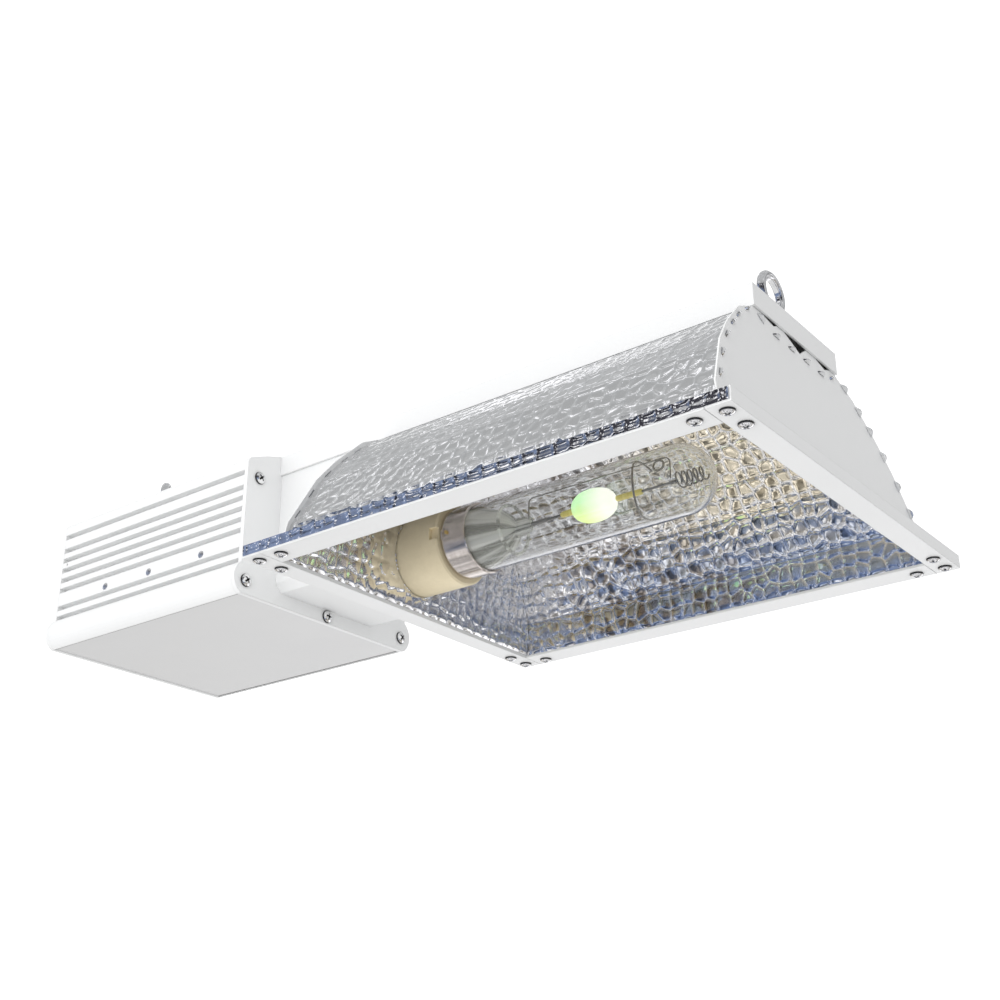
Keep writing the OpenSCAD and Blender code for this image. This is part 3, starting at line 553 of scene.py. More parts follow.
def glass(name, tint):
    """Clear glass: smears in its roughness, draw lines along X in its normal, and a plain
    transparent shader for shadow rays."""
    mat, t, s = finish(name, Base_Color=(*tint, 1), IOR=1.49, Transmission_Weight=1.0)
    co = t.coords()
    smear = t.noise(co, 60.0, 3.0, 0.6)
    draw = t.noise(t.stretched(co, (0.15, 1.0, 1.0)), 120.0, 2.0)
    t.put(s, "Roughness", t.ramp(smear, 0.45, 0.75, 0.0, 0.035))
    t.put(s, "Normal", t.bump(draw, 0.25, 0.0003))
    clear = t.add("ShaderNodeBsdfTransparent", Color=(0.93, 0.95, 0.95, 1)).outputs[0]
    mixer = t.add("ShaderNodeMixShader", i1=s.outputs[0], i2=clear)
    t.put(mixer, "Fac", t.add("ShaderNodeLightPath").outputs["Is Shadow Ray"])
    t.put(mat.node_tree.nodes["Material Output"], "Surface", mixer.outputs[0])
    return mat


FINISH["clear_glass"] = glass("clear_glass", (0.99, 1.0, 0.995))
print("glass:", FINISH["clear_glass"].name)

# %% [markdown]
# The lit arc tube glows: green at its cool end, yellower at the bottom where the salts sit, and
# nearly white at its hot end. Masks by the distance along the tube and by height mix these.

# %% Lit arc tube
ARC_X = place([-5.5, 0, 0])[0]
ARC_REACH = 0.015
mat, t, s = finish("lit_arc_tube", Roughness=0.35, Emission_Strength=0.95)
co = t.coords()
xyz = t.split(co)
along = t.ramp(xyz["X"], ARC_X - ARC_REACH, ARC_X + ARC_REACH)
low = t.ramp(xyz["Z"], place([0, 0, LAMP_Z - 10])[2], place([0, 0, LAMP_Z + 3])[2])
puddle = t.noise(co, 130.0, 3.0, 0.6)
green = t.mix(t.plus(t.times(puddle, 0.5), low, True), (0.86, 0.88, 0.22, 1), (0.55, 0.95, 0.50, 1))
hot = t.mix(t.ramp(along, 0.35, 0.8), green, (1.0, 1.0, 0.92, 1))
t.put(s, "Base Color", t.mix(puddle, (0.30, 0.38, 0.16, 1), (0.36, 0.40, 0.26, 1)))
t.put(s, "Emission Color", hot)
t.put(s, "Normal", t.bump(puddle, 0.1, 0.0004))
FINISH["lit_arc_tube"] = mat
print("arc tube centred at x =", round(ARC_X, 4))

# %% [markdown]
# The sleeves on the arc tube's leads are stained gold by its heat, in fine rings, with a faint painted
# glow.
# The stem is softened glass pinched round the wires, so its folds fan out from the lamp's axis. Light
# would be lost in its many layers, so it is half clear, with a faint painted glow and painted light and
# dark folds.

# %% Stained sleeves and stem glass
# Painted glow: the sleeves' faint emission.
mat, t, s = finish("gold_sleeve", Roughness=0.3, Emission_Strength=0.25)
co = t.coords()
rings = t.noise(t.stretched(co, (6.0, 1.0, 1.0)), 300.0, 2.0)
t.put(s, "Base Color", t.mix(rings, (0.62, 0.46, 0.10, 1), (0.85, 0.74, 0.30, 1)))
t.put(s, "Emission Color", t.mix(rings, (0.50, 0.42, 0.06, 1), (0.75, 0.72, 0.25, 1)))
t.put(s, "Normal", t.bump(rings, 0.4, 0.0002))
GOLD = mat

# Painted light: the faint emission and the light and dark fan of folds.
SEAL, t, s = finish("seal_glass", Roughness=0.12, Alpha=0.55, Emission_Strength=0.12)
co = t.coords()
to_axis = (0.0, 0.0, -place([0, 0, LAMP_Z])[2])
off_axis = t.add("ShaderNodeMapping", Vector=co, Scale=(0.0, 1.0, 1.0), Location=to_axis).outputs[0]
spokes = t.add("ShaderNodeVectorMath", {"operation": "NORMALIZE"}, i0=off_axis).outputs[0]
folds = t.noise(spokes, 2.6, 1.0, 0.5)
# Painted light and shade of the folds, used as colour and as emission.
fan = t.mix(t.ramp(folds, 0.42, 0.58), (0.30, 0.30, 0.27, 1), (0.90, 0.89, 0.84, 1))
t.put(s, "Base Color", fan)
t.put(s, "Emission Color", fan)
t.put(s, "Normal", t.bump(folds, 0.4, 0.001))
print("finishes:", len(FINISH))

# %% [markdown]
# The bottom cover is pushed in between the housing's sides. The narrow gap along its two long
# edges is in shadow, and that shadow is put into the cover's own paint as a dark line, a painted shadow.

# %% Seam at the bottom cover
SEAM_FROM, SEAM_FULL = 0.0011, 0.0007
SEAM_PAINTED_SHADOW = (0.16, 0.16, 0.16, 1)
grey = FINISH["grey_panel"]
t, s = Tree(grey.node_tree), grey.node_tree.nodes["Principled BSDF"]
reach = max(abs(corner[1]) for corner in NODES["ballast_bottom_cover"].bound_box)
co = t.coords()
y = t.math("ABSOLUTE", t.split(co)["Y"])
# Painted shadow: a dark line near both long edges of the cover.
seam = t.ramp(y, reach - SEAM_FROM, reach - SEAM_FULL)
t.put(s, "Base Color", t.mix(seam, s.inputs["Base Color"].links[0].from_socket, SEAM_PAINTED_SHADOW))
print("seam lines at y =", round(reach * 1000, 1), "mm either side")

# %% [markdown]
# The CAD nodes whose shape is already right keep it. Each takes the finish that the record's
# slot names.

# %% Finishes on the CAD nodes
for sub in frame["record"]["subparts"]:
    node = NODES[sub["node"]]
    node.data.materials.clear()
    node.data.materials.append(FINISH[sub["material_slot"]])

# %% [markdown]
# ## The hammered reflector
# The sheet is embossed by rolls with irregular cells about 8 mm across, then bent in straight
# lines. The cells are a Voronoi pattern: points are scattered one to a square of a jittered
# grid, and each cell is the ground nearer to its point than to any other. A cell's height
# grows with the distance to its border, so borders are narrow valleys round high domes, which
# is what makes it sparkle. No two cells lean quite the same way. It is worked out on the flat
# sheet and then bent, as the real one is.

# %% The hammer pattern
BORDER_WIDTH = 2.2


def hammer(u, v, cell=8.0, seed=HAMMER_SEED):
    """Height of the embossing at flat-sheet points (u, v) in millimetres, and the cell mask, 0 on
    a border and 1 inside. F1 and F2 are the distances to the nearest and second nearest seed. The
    mask is smoothstep((F2 - F1) / width). The height is the mask times the sum of a half, half a
    dome 1 - (F1 / cell)^2, and the cell's own lean times the offset from its seed."""
    i0, j0 = np.floor(u / cell).astype(int), np.floor(v / cell).astype(int)
    lo_i, lo_j = i0.min() - 2, j0.min() - 2
    rng = np.random.default_rng(seed)
    shape = (i0.max() - lo_i + 4, j0.max() - lo_j + 4)
    jitter = rng.uniform(0.2, 0.8, shape + (2,))
    lean = rng.normal(0.0, 0.05, shape + (2,))
    f1 = np.full(u.shape, 1e9)
    f2 = f1.copy()
    tilt = np.zeros(u.shape)
    for di in (-2, -1, 0, 1, 2):
        for dj in (-2, -1, 0, 1, 2):
            a, b = i0 + di - lo_i, j0 + dj - lo_j
            du = u - (i0 + di + jitter[a, b, 0]) * cell
            dv = v - (j0 + dj + jitter[a, b, 1]) * cell
            d = np.hypot(du, dv)
            nearer = d < f1
            f2 = np.where(nearer, f1, np.minimum(f2, d))
            tilt = np.where(nearer, lean[a, b, 0] * du + lean[a, b, 1] * dv, tilt)
            f1 = np.minimum(f1, d)
    edge = smoothstep((f2 - f1) / BORDER_WIDTH)
    dome = 1 - np.clip(f1 / cell, 0, 1) ** 2
    return edge * (0.5 + 0.5 * dome + tilt), edge


# %% [markdown]
# The wall is bent from crown to rim in seven flat stretches. Points are set out evenly along
# that profile and across the length between the two leaning end planes. The hammering moves
# each point along the profile's own normal and fades out at the sheet's ends, where it meets
# the end plates. A second skin gives the sheet its thickness, and carries the duller finish
# of the outer side.

# %% Reflector walls
WALL = np.array([[108.5, 1.4], [106, 21], [91, 49.5], [79, 64.5], [61, 82], [45.5, 92],
                 [33, 84], [0, 84]])
HAMMER_DEPTH = 0.7
STEP = 0.95


def along_profile(profile, step):
    """Points every step along a bent line, bends kept, with unit normals mitred at the bends."""
    run = np.diff(profile, axis=0)
    length = np.hypot(run[:, 0], run[:, 1])
    bend = np.concatenate([[0], np.cumsum(length)])
    parts = [np.linspace(bend[k], bend[k + 1], max(2, int(round(length[k] / step))), endpoint=False)
             for k in range(len(run))]
    s = np.append(np.concatenate(parts), bend[-1])
    points = np.stack([np.interp(s, bend, profile[:, 0]), np.interp(s, bend, profile[:, 1])], -1)
    k = np.clip(np.searchsorted(bend, s, side="right") - 1, 0, len(run) - 1)
    before = np.clip(np.searchsorted(bend, s, side="left") - 1, 0, len(run) - 1)
    unit = run / length[:, None]
    tangent = unit[k] + unit[before]
    tangent /= np.linalg.norm(tangent, axis=1, keepdims=True)
    to_bend = np.min(np.abs(s[:, None] - bend[None, 1:-1]), axis=1)
    return s, points, np.stack([-tangent[:, 1], tangent[:, 0]], -1), to_bend


OUTER_SHARE = 0.4


def sheet_points(yz, normal, x, depth, side):
    """Frame points of a bent sheet: profile points moved along their normals by depth."""
    y = (yz[:, 0, None] + normal[:, 0, None] * depth) * side
    z = yz[:, 1, None] + normal[:, 1, None] * depth
    return place(np.stack([x, y, z], -1))


def bent_sheet(profile, reach_at, side, patch, end_fade=3.0, step=STEP):
    """Hammered sheet bent along a profile, x running between -reach and +reach at each height, and
    its cell mask. The inner face stands out by the hammer height and the outer face follows with
    less of it. The height fades near the sheet's edges and, by about half, near a bend."""
    s, yz, normal, to_bend = along_profile(np.asarray(profile, float), step)
    reach = reach_at(yz[:, 1])
    cols = int(2 * reach.max() / step)
    x = reach[:, None] * np.linspace(-1, 1, cols)[None, :]
    fade = smoothstep((reach[:, None] - np.abs(x)) / end_fade)
    at_bend = 0.45 + 0.55 * smoothstep(to_bend / 2.5)[:, None]
    at_edge = smoothstep(np.minimum(s, s[-1] - s) / 1.5 + 0.001)[:, None]
    fade = fade * at_bend * at_edge
    height, mask = hammer(x + patch, np.repeat(s[:, None], cols, axis=1))
    h = HAMMER_DEPTH * height * fade
    front = sheet_points(yz, normal, x, h, side)
    back = sheet_points(yz, normal, x, OUTER_SHARE * h - SHEET_T, side)
    return shell(front, back) + (np.stack([mask, mask]),)


def sheet_piece(name, sheet, node, outer):
    """Piece from a hammered sheet's (points, faces, index, cells), with its outer side's finish."""
    points, faces, index, cells = sheet
    inner = outer if outer is LIP_SIDE else INSIDE
    return piece(name, points, faces, "fixture", "hammered_aluminium", [node], [inner, outer],
                 index, 60, cells)


SPLIT = 4
for label, side in (("left", 1), ("right", -1)):
    for part, run in (("lower", WALL[:SPLIT]), ("upper", WALL[SPLIT - 1:])):
        patch = 400.0 + 400.0 * side + 1600.0 * (part == "upper")
        sheet = bent_sheet(run, lambda z: MOUTH_X - LEAN * z - 0.05, side, patch)
        sheet_piece(f"{label}_{part}_wall", sheet, "reflector_sheet", OUTSIDE)

# %% [markdown]
# On the long sides the same sheet lies flat on the white bar and turns up at its edge. That
# narrow lip catches the light, so it gets its own run of cells.

# %% Turned-up side lips
LIP = [[108.9, 1.45], [125.0, 1.45], [125.0, 6.9]]
LIP_REACH = 146.0
for label, side in (("left", 1), ("right", -1)):
    sheet = bent_sheet(LIP, lambda z: LIP_REACH + 0 * z, side, 1500.0 + 300.0 * side, 1.0, 0.9)
    sheet_piece(f"{label}_reflector_lip", sheet, "reflector_sheet", LIP_SIDE)

# %% [markdown]
# Small tabs along the sheet's two ends go through slots in the end plates and are bent over a
# little. Each is a short strip that leaves its slot straight and curls outwards.

# %% Bent tabs at both ends
TAB_W, TAB_OUT, TAB_SPACING = 7.5, 3.0, 15.0


def tab_places():
    """Middle and direction (y, z) of each tab: even steps along each flat stretch of the profile."""
    path = np.concatenate([WALL[:7], WALL[:7][::-1] * [-1, 1]])
    run = np.diff(path, axis=0)
    length = np.hypot(run[:, 0], run[:, 1])
    count = np.maximum(1, np.round(length / TAB_SPACING)).astype(int)
    k = np.repeat(np.arange(len(run)), count)
    first = np.repeat(np.cumsum(count) - count, count)
    share = (np.arange(len(k)) - first + 0.5) / count[k]
    return path[k] + run[k] * share[:, None], run[k] / length[k][:, None]


middles, ways = tab_places()
curl_rng = np.random.default_rng(HAMMER_SEED + 1)
across = np.array([-0.5, 0.5]) * TAB_W
out = np.linspace(-1.2, TAB_OUT, 7)
parts = []
for end in (1, -1):
    curl = curl_rng.uniform(0.25, 0.9, len(middles))
    for (y, z), (ty, tz), bend_by in zip(middles, ways, curl):
        push = bend_by * np.clip(out / TAB_OUT, 0, 1) ** 2
        x = (MOUTH_X - LEAN * z + out)[:, None] * end + 0 * across
        narrow = 1 - 0.75 * np.clip(out / TAB_OUT, 0, 1)[:, None] ** 2
        flat_y = y + ty * across[None, :] * narrow
        flat_z = z + tz * across[None, :] * narrow
        skins = []
        for thick in (0.0, SHEET_T):
            off = push[:, None] + thick
            skins.append(place(np.stack([x, flat_y + tz * off, flat_z - ty * off], -1)))
        parts.append(shell(*skins)[:2])
piece("reflector_tabs", *join(parts), "fixture", "hammered_aluminium", ["reflector_sheet"], [OUTSIDE])

# %% [markdown]
# The two ends are lined with the same hammered sheet. A liner is flat, so its grid runs
# across in Y and, at each Y, from the rim up to the wall's profile. The near one has a round
# hole for the lampholder: quads that lie whole inside it go, and the points left inside are
# moved out onto its edge.

# %% End liners
HOLE_R = 25.0
LINER_HALF, LINER_LOW = 107.9, 1.6


def liner(end, patch, hole):
    """Liner grid: y even, z from the rim to the profile's height there, and the leaning plane's x."""
    y = np.linspace(-LINER_HALF, LINER_HALF, 197)
    order = np.argsort(WALL[:7, 0])
    top = np.interp(np.abs(y), WALL[:7, 0][order], WALL[:7, 1][order]) - 0.3
    v = np.linspace(0, 1, 80)
    z = LINER_LOW + (top[:, None] - LINER_LOW) * v[None, :]
    yy = np.repeat(y[:, None], len(v), axis=1)
    edge = np.minimum(np.minimum(z - LINER_LOW, top[:, None] - z), LINER_HALF - np.abs(yy))
    if hole:
        dy, dz = yy, z - LAMP_Z
        d = np.hypot(dy, dz)
        inside = d < HOLE_R
        edge = np.minimum(edge, np.abs(d - HOLE_R))
        snap = np.where(inside, HOLE_R / np.maximum(d, 0.01), 1.0)
        yy, z = dy * snap, LAMP_Z + dz * snap
    height, mask = hammer(yy + patch, z)
    h = HAMMER_DEPTH * height * smoothstep(edge / 1.5 + 0.001)
    lean = np.array([1.0, 0.0, LEAN]) / math.hypot(1, LEAN)
    skins = []
    for depth in (h, 0 * h - SHEET_T + 0.1):
        x = MOUTH_X - LEAN * z - SHEET_T - 0.05
        p = np.stack([x, yy, z], -1) - lean * depth[..., None]
        skins.append(place(p * [end, 1, 1]))
    points, faces, index = shell(*skins)
    if hole:
        n = inside.size
        gone = inside.reshape(-1)[faces % n].all(axis=1)
        faces, index = faces[~gone], index[~gone]
    return points, faces, index, np.stack([mask, mask])


for label, end, hole in (("far", 1, False), ("near", -1, True)):
    sheet = liner(end, 2500.0 + 400.0 * end, hole)
    sheet_piece(f"{label}_hammered_liner", sheet, f"{label}_end_liner", OUTSIDE)

# %% [markdown]
# ## Screws
# Every screw that shows is a pan head with a cross recess. The head is a dome set out in
# rings and spokes. The recess is cut by lowering the dome where a point is close to either
# arm of the cross: depth times the greater of the two arms' masks. A plain shank closes it
# underneath. Each screw is turned by its own seeded angle, as nobody lines them up. The metal
# is bright scuffed zinc, darkened by painted shade in the recess and a painted contact shadow
# under the head's edge, where the attribute "cell" is 1.

# %% Screw metal
SCREW, t, s = finish("screw_head", Metallic=1.0)
co = t.coords()
scuffs = t.noise(co, 900.0, 3.0, 0.6)
bare = t.mix(t.ramp(scuffs, 0.35, 0.65), (0.80, 0.80, 0.80, 1), (0.93, 0.93, 0.93, 1))
# Painted shade: the recess and the ring under the head's edge, where "cell" is 1.
painted_recess_shade = t.add("ShaderNodeAttribute", {"attribute_name": "cell"}).outputs["Fac"]
t.put(s, "Base Color", t.mix(painted_recess_shade, bare, (0.05, 0.05, 0.05, 1)))
t.put(s, "Roughness", t.ramp(scuffs, 0.3, 0.7, 0.10, 0.20))
t.put(s, "Normal", t.bump(scuffs, 0.1, 0.00004))

# %% Cross-recess screws


def pan_head(head, shank, length):
    """One screw along +Z, its head's underside at 0: points, faces and the painted shade mask. The
    dome's height is 0.58 head * (1 - 0.62 (r / head)^2.4), with the cross cut into it; a rounded rim and
    the shank follow. The mask is the cross, the head's outer edge and all below it."""
    spoke = full_turn(56)
    r = head * np.concatenate([np.linspace(0, 0.93, 22), [0.975, 1.0, 1.0, 0.96]])
    dome = head * 0.58 * (1 - 0.62 * (r / head) ** 2.4)
    dome[-4:] = head * np.array([0.20, 0.12, 0.03, 0.0])
    x, y = r[:, None] * np.cos(spoke), r[:, None] * np.sin(spoke)
    arms = [smoothstep((0.15 * head - np.abs(a)) / (0.07 * head))
            * smoothstep((0.56 * head - np.abs(b)) / (0.12 * head)) for a, b in ((x, y), (y, x))]
    cross = np.maximum(*arms)
    z = dome[:, None] - 0.46 * head * cross + 0 * x
    # Painted shade mask: the cross recess and a contact shadow at the head's edge.
    dark = np.maximum(cross, smoothstep((r / head - 0.90) / 0.05)[:, None])
    dark = np.concatenate([dark] + 4 * [np.ones((1, len(spoke)))])
    under = [(shank, 0.0), (shank, -length + shank * 0.4), (shank * 0.55, -length), (0.0, -length)]
    x = np.concatenate([x] + [a * np.cos(spoke)[None] for a, _ in under])
    y = np.concatenate([y] + [a * np.sin(spoke)[None] for a, _ in under])
    z = np.concatenate([z] + [np.full((1, len(spoke)), b) for _, b in under])
    faces = grid_faces(len(z), len(spoke), wrap_cols=True)
    return np.stack([x, y, z], -1).reshape(-1, 3), faces, dark.ravel()


screw_rng = np.random.default_rng(HAMMER_SEED + 2)


def set_screws(name, spots, way, head, shank, length, node):
    """The same screw at several drawing points, heads pointing along way."""
    points, faces, dark = pan_head(head, shank, length)
    way = np.asarray(way, float)
    side = np.cross(way, [0.31, 0.52, 0.79])
    side /= np.linalg.norm(side)
    third = np.cross(way, side)
    parts = []
    for spot, a in zip(spots, screw_rng.uniform(0, np.pi / 2, len(spots))):
        u = np.cos(a) * side + np.sin(a) * third
        v = np.cross(way, u)
        turned_points = points[:, :1] * u + points[:, 1:2] * v + points[:, 2:] * way
        parts.append(outward((place(turned_points + spot), faces)))
    points, faces = join(parts)
    return piece(name, points, faces, "fixture", "zinc_steel", [node], [SCREW], crease=40,
                 cells=np.tile(dark, len(spots)))


corners = [(sx * x, sy * y, 0.0) for sx in (-1, 1) for sy in (-1, 1)
           for x, y in ((141, 118), (141, 102), (125, 118))]
set_screws("rim_corner_screws", corners, (0, 0, -1), 3.7, 1.9, 6.5, "corner_screws")
PLATE_SPOTS = [(62.8, 85.5), (-62.8, 85.5), (68.5, 18.0), (-68.5, 18.0), (0.0, 13.9)]
for label, x, way in (("front", -206.0, 1), ("rear", -383.5, -1)):
    set_screws(f"{label}_plate_pan_screws", [(x, y, z) for y, z in PLATE_SPOTS], (way, 0, 0),
               4.0, 1.6, 12.0, f"{label}_plate_screws")

# %% [markdown]
# ## Hanging eyes
# An eye bolt is a rod bent into a ring and welded to its own shank. The ring is a torus:
# round the ring by one angle, round the rod by the other. Inside, the rod is flattened to the
# narrow land that a hook runs on. Below it come a neck, a collar and the threaded shank,
# turned from one profile whose thread is a fine wave on its radius.

# %% Eye bolts
EYE_R, EYE_ROD, LAND = 8.0, 2.5, 8.35
COLLAR_DROP = 18.5


def eye_bolt(spot, turn, shank):
    """Ring in a standing plane turned about Z, its neck, collar and threaded shank."""
    a = full_turn(112)[:, None]
    b = full_turn(40)[None, :]
    out = np.maximum(EYE_R + EYE_ROD + EYE_ROD * np.cos(b), LAND)
    along = np.array([-math.sin(turn), math.cos(turn), 0.0])
    through = np.array([math.cos(turn), math.sin(turn), 0.0])
    ring = ((out * np.cos(a))[..., None] * along + (out * np.sin(a))[..., None] * np.array([0, 0, 1.0])
            + (EYE_ROD * np.sin(b) + 0 * a)[..., None] * through)
    torus = grid_faces(112, 40, wrap_rows=True, wrap_cols=True)
    ring = outward((place(ring.reshape(-1, 3) + spot), torus))
    z = np.linspace(-COLLAR_DROP - shank + 0.6, -COLLAR_DROP - 0.8, int(shank / 0.125))
    thread = np.stack([z, 2.86 + 0.13 * np.cos(2 * np.pi * z / 1.0)], -1)
    neck = np.linspace(0, 1, 9)
    head = np.stack([-COLLAR_DROP + 3.0 + 4.0 * neck, 5.2 - 0.5 - 1.8 * smoothstep(neck * 1.6)], -1)
    profile = np.concatenate([[[-COLLAR_DROP - shank, 0], [-COLLAR_DROP - shank, 2.4]], thread,
                              [[-COLLAR_DROP - 0.6, 3.0], [-COLLAR_DROP, 3.0], [-COLLAR_DROP, 4.8],
                               [-COLLAR_DROP + 0.4, 5.2], [-COLLAR_DROP + 2.6, 5.2]], head,
                              [[-10.5, 2.6], [-10.0, 0]]])
    profile = profile * MM
    stem = turned(profile, place(spot), (0, 0, 1), 48)
    return join([ring, stem])


REAR_TURN = math.radians(38)
for label, spot, turn, shank in (("front", (110.0, 0.0, 126.0), 0.0, 14.5),
                                 ("rear", (-371.0, 0.0, 136.5), REAR_TURN, 23.5)):
    piece(f"{label}_eye_bolt", *eye_bolt(spot, turn, shank), f"{label}_eye", "chrome_steel",
          [f"{label}_hanging_eye"], crease=50)

# %% [markdown]
# ## The lamp
# A tubular metal halide lamp: an outer tube of clear glass with a domed end, a flared glass
# stem that carries the wires in, and in the middle a small translucent ceramic arc tube. Round
# parts are turned about the lamp's axis from a closed profile, outer wall first and inner wall
# back, so that the glass has a real thickness and refracts like glass.

# %% Turning about the lamp's axis
AXIS = (1.0, 0.0, 0.0)
ON_AXIS = place([0, 0, LAMP_Z]) - np.array([place([0, 0, 0])[0], 0, 0])
X0 = place([0, 0, 0])[0]


def lamp_turned(profile, n=112, closed=True):
    """Turned about the lamp's axis from (x, radius) in drawing millimetres."""
    profile = np.asarray(profile, float) * MM + [X0, 0.0]
    return turned(profile, ON_AXIS, AXIS, n, closed)


def arc(cx, cr, r, a0, a1, n):
    """Points (x, radius) of an arc about (cx, cr), from a0 to a1 degrees."""
    a = np.radians(np.linspace(a0, a1, n))
    return np.stack([cx + r * np.cos(a), cr + r * np.sin(a)], -1)


print("lamp axis through", ON_AXIS)

# %% [markdown]
# The outer tube is one closed profile: outer wall, dome, then the inner wall back.

# %% Outer tube
GLASS_R, GLASS_T, DOME_X = 19.5, 1.2, 49.0
body_x = np.linspace(-94.0, DOME_X, 60)
outer = np.stack([body_x, np.full(60, GLASS_R)], -1)
inner = np.stack([body_x[::-1], np.full(60, GLASS_R - GLASS_T)], -1)
envelope = np.concatenate([outer, arc(DOME_X, 0, GLASS_R, 90, 0, 28)[1:],
                           arc(DOME_X, 0, GLASS_R - GLASS_T, 0, 90, 28)[:-1], inner])
piece("glass_envelope", *lamp_turned(envelope, 128), "lamp", "clear_glass", ["lamp_glass"])

# %% [markdown]
# The stem is three closed shapes: the flare that is fused to the tube, the ring where its
# wall turns over, and the flat press that was pinched shut round the wires.

# %% Stem and press
flare = np.array([[-94, 17.8], [-84, 17.8], [-80, 17.6], [-76.5, 16.4], [-72, 14.6], [-66, 12.6],
                  [-62.5, 9.8], [-60, 7.0], [-58.4, 4.2], [-58, 0.0]])
back = np.array([[-59.4, 0.0], [-59.9, 4.0], [-61.6, 6.4], [-64, 8.6], [-67.4, 11.2], [-73, 13.2],
                 [-77.5, 15.0], [-81, 16.4], [-85, 16.6], [-94, 16.6]])
rim = arc(-61.0, 14.2, 1.0, 200, -160, 25)[:-1]
press_a = full_turn(40)
press_t = np.linspace(0, 1, 14)[:, None]
wide = 6.4 - 1.6 * smoothstep(press_t) + 0 * press_a
squeeze = np.sqrt(np.clip(1 - (2 * press_t - 1) ** 12, 0, 1))
pinch = np.stack([X0 + MM * (-59.5 + 12.5 * press_t + 0 * press_a),
                  ON_AXIS[1] + MM * 2.1 * squeeze * np.sin(press_a)[None],
                  ON_AXIS[2] + MM * wide * squeeze * np.cos(press_a)[None]], -1)
pinch = outward((pinch.reshape(-1, 3), grid_faces(14, 40, wrap_cols=True)))
stem = join([lamp_turned(np.concatenate([flare, back])), lamp_turned(rim, 96), pinch])
piece("glass_stem_and_press", *stem, "lamp", "clear_glass", ["glass_stem"], [SEAL])

# %% [markdown]
# The arc tube is an egg with a thin neck at each end: its radius follows the cosine of the
# angle along it, a little squarer than a true ellipse. The necks end in dull metal leads, and
# each wears a gold-stained sleeve.

# %% Arc tube and leads
ARC_HALF, ARC_R, ARC_MID = 13.4, 9.4, -5.5
a = np.radians(np.linspace(-90, 90, 45))
egg = np.stack([ARC_MID + ARC_HALF * np.sin(a), ARC_R * np.cos(a) ** 0.78], -1)
egg[:, 1] = np.maximum(egg[:, 1], 1.5)
egg = np.concatenate([[[-25.2, 0.0], [-25.2, 1.3], [-24.8, 1.5]], egg,
                      [[24.0, 1.5], [24.3, 1.2], [24.3, 0.0]]])
piece("lit_arc_tube_body", *lamp_turned(egg, 96, closed=False), "lamp", "lit_arc_tube", ["arc_tube"])


def line(a, b, n=12):
    """Evenly spaced drawing points from a to b."""
    return np.asarray(a, float) + (np.asarray(b, float) - a) * np.linspace(0, 1, n)[:, None]


def wire(path, radius, ref, sides=12):
    """Tube along drawing points, in frame metres."""
    return tube(place(path), radius * MM, ref, sides)


TIP_SLEEVE = [[9.2, 0.0], [9.2, 1.5], [9.8, 1.75], [12.0, 1.75], [25.0, 1.7], [25.4, 1.4], [25.4, 0.0]]
BASE_SLEEVE = [[-27.5, 0], [-27.5, 1.3], [-26.5, 1.75], [-22.0, 1.9], [-19.0, 1.8], [-18.4, 0]]
sleeves = join([lamp_turned(shape, 40, closed=False) for shape in (TIP_SLEEVE, BASE_SLEEVE)])
piece("stained_sleeves", *sleeves, "lamp", "brass", (), [GOLD])

leads = join([wire(line([25, 0, LAMP_Z], [46, 0, LAMP_Z]), 0.7, (0, 0, 1)),
              wire(line([-66, 0, LAMP_Z - 1.5], [-26, 0, LAMP_Z]), 0.75, (0, 0, 1)),
              wire(line([-52, 0, LAMP_Z - 0.4], [-38, 0, LAMP_Z - 0.2]), 1.25, (0, 0, 1), 20)])
piece("arc_tube_lead_wires", *leads, "lamp", "dark_wire", ["arc_tube_leads"])

# %% [markdown]
# A bare wire comes back from the lamp's tip end along the top of the tube, held off the glass
# by a springy ring. Both are tubes along a curve: a straight run with rounded corners, and a
# circle with a gap.

# %% Return wire and ring
RUN = 16.0
corner = np.radians(np.linspace(0, 90, 9))[:, None]
cos, sin = np.cos(corner), np.sin(corner)
up_near = np.concatenate([
    line([-50, 0, LAMP_Z + 3], [-50, 0, LAMP_Z + RUN - 3], 6),
    np.array([-47, 0, LAMP_Z + RUN - 3]) + 3 * np.concatenate([-cos, 0 * cos, sin], 1),
    line([-46, 0, LAMP_Z + RUN], [38, 0, LAMP_Z + RUN], 60),
    np.array([39, 0, LAMP_Z + RUN - 4]) + 4 * np.concatenate([sin, 0 * cos, cos], 1),
    line([43, 0, LAMP_Z + RUN - 5], [43, 0, LAMP_Z - 1], 8)])
parts = [wire(up_near, 0.38, (0, 1, 0))]
a = np.radians(np.linspace(62, 286, 80))
ring_path = np.stack([28.0 + 1.4 * np.cos(2 * a), RUN * np.cos(a), LAMP_Z + RUN * np.sin(a)], -1)
outward_ref = np.stack([0 * a, np.cos(a), np.sin(a)], -1)
parts.append(wire(ring_path, 0.55, outward_ref))
piece("return_wire_and_ring", *join(parts), "lamp", "dark_wire", ["support_wire"])

# %% [markdown]
# At the tip a helix that narrows springs against the dome. The small flat ring is the getter,
# and a glass bead steadies the wires.

# %% Coil, getter and bead at the tip
turns = np.linspace(0, 5 * 2 * np.pi, 260)
coil_r = 4.5 - 1.1 * turns / turns[-1]
coil = np.stack([47 + 17 * turns / turns[-1], coil_r * np.cos(turns),
                 LAMP_Z + coil_r * np.sin(turns)], -1)
coil = wire(coil, 0.5, np.stack([0 * turns, np.cos(turns), np.sin(turns)], -1), 10)
piece("tip_coil_spring", *coil, "lamp", "dark_wire", ["end_spring"])

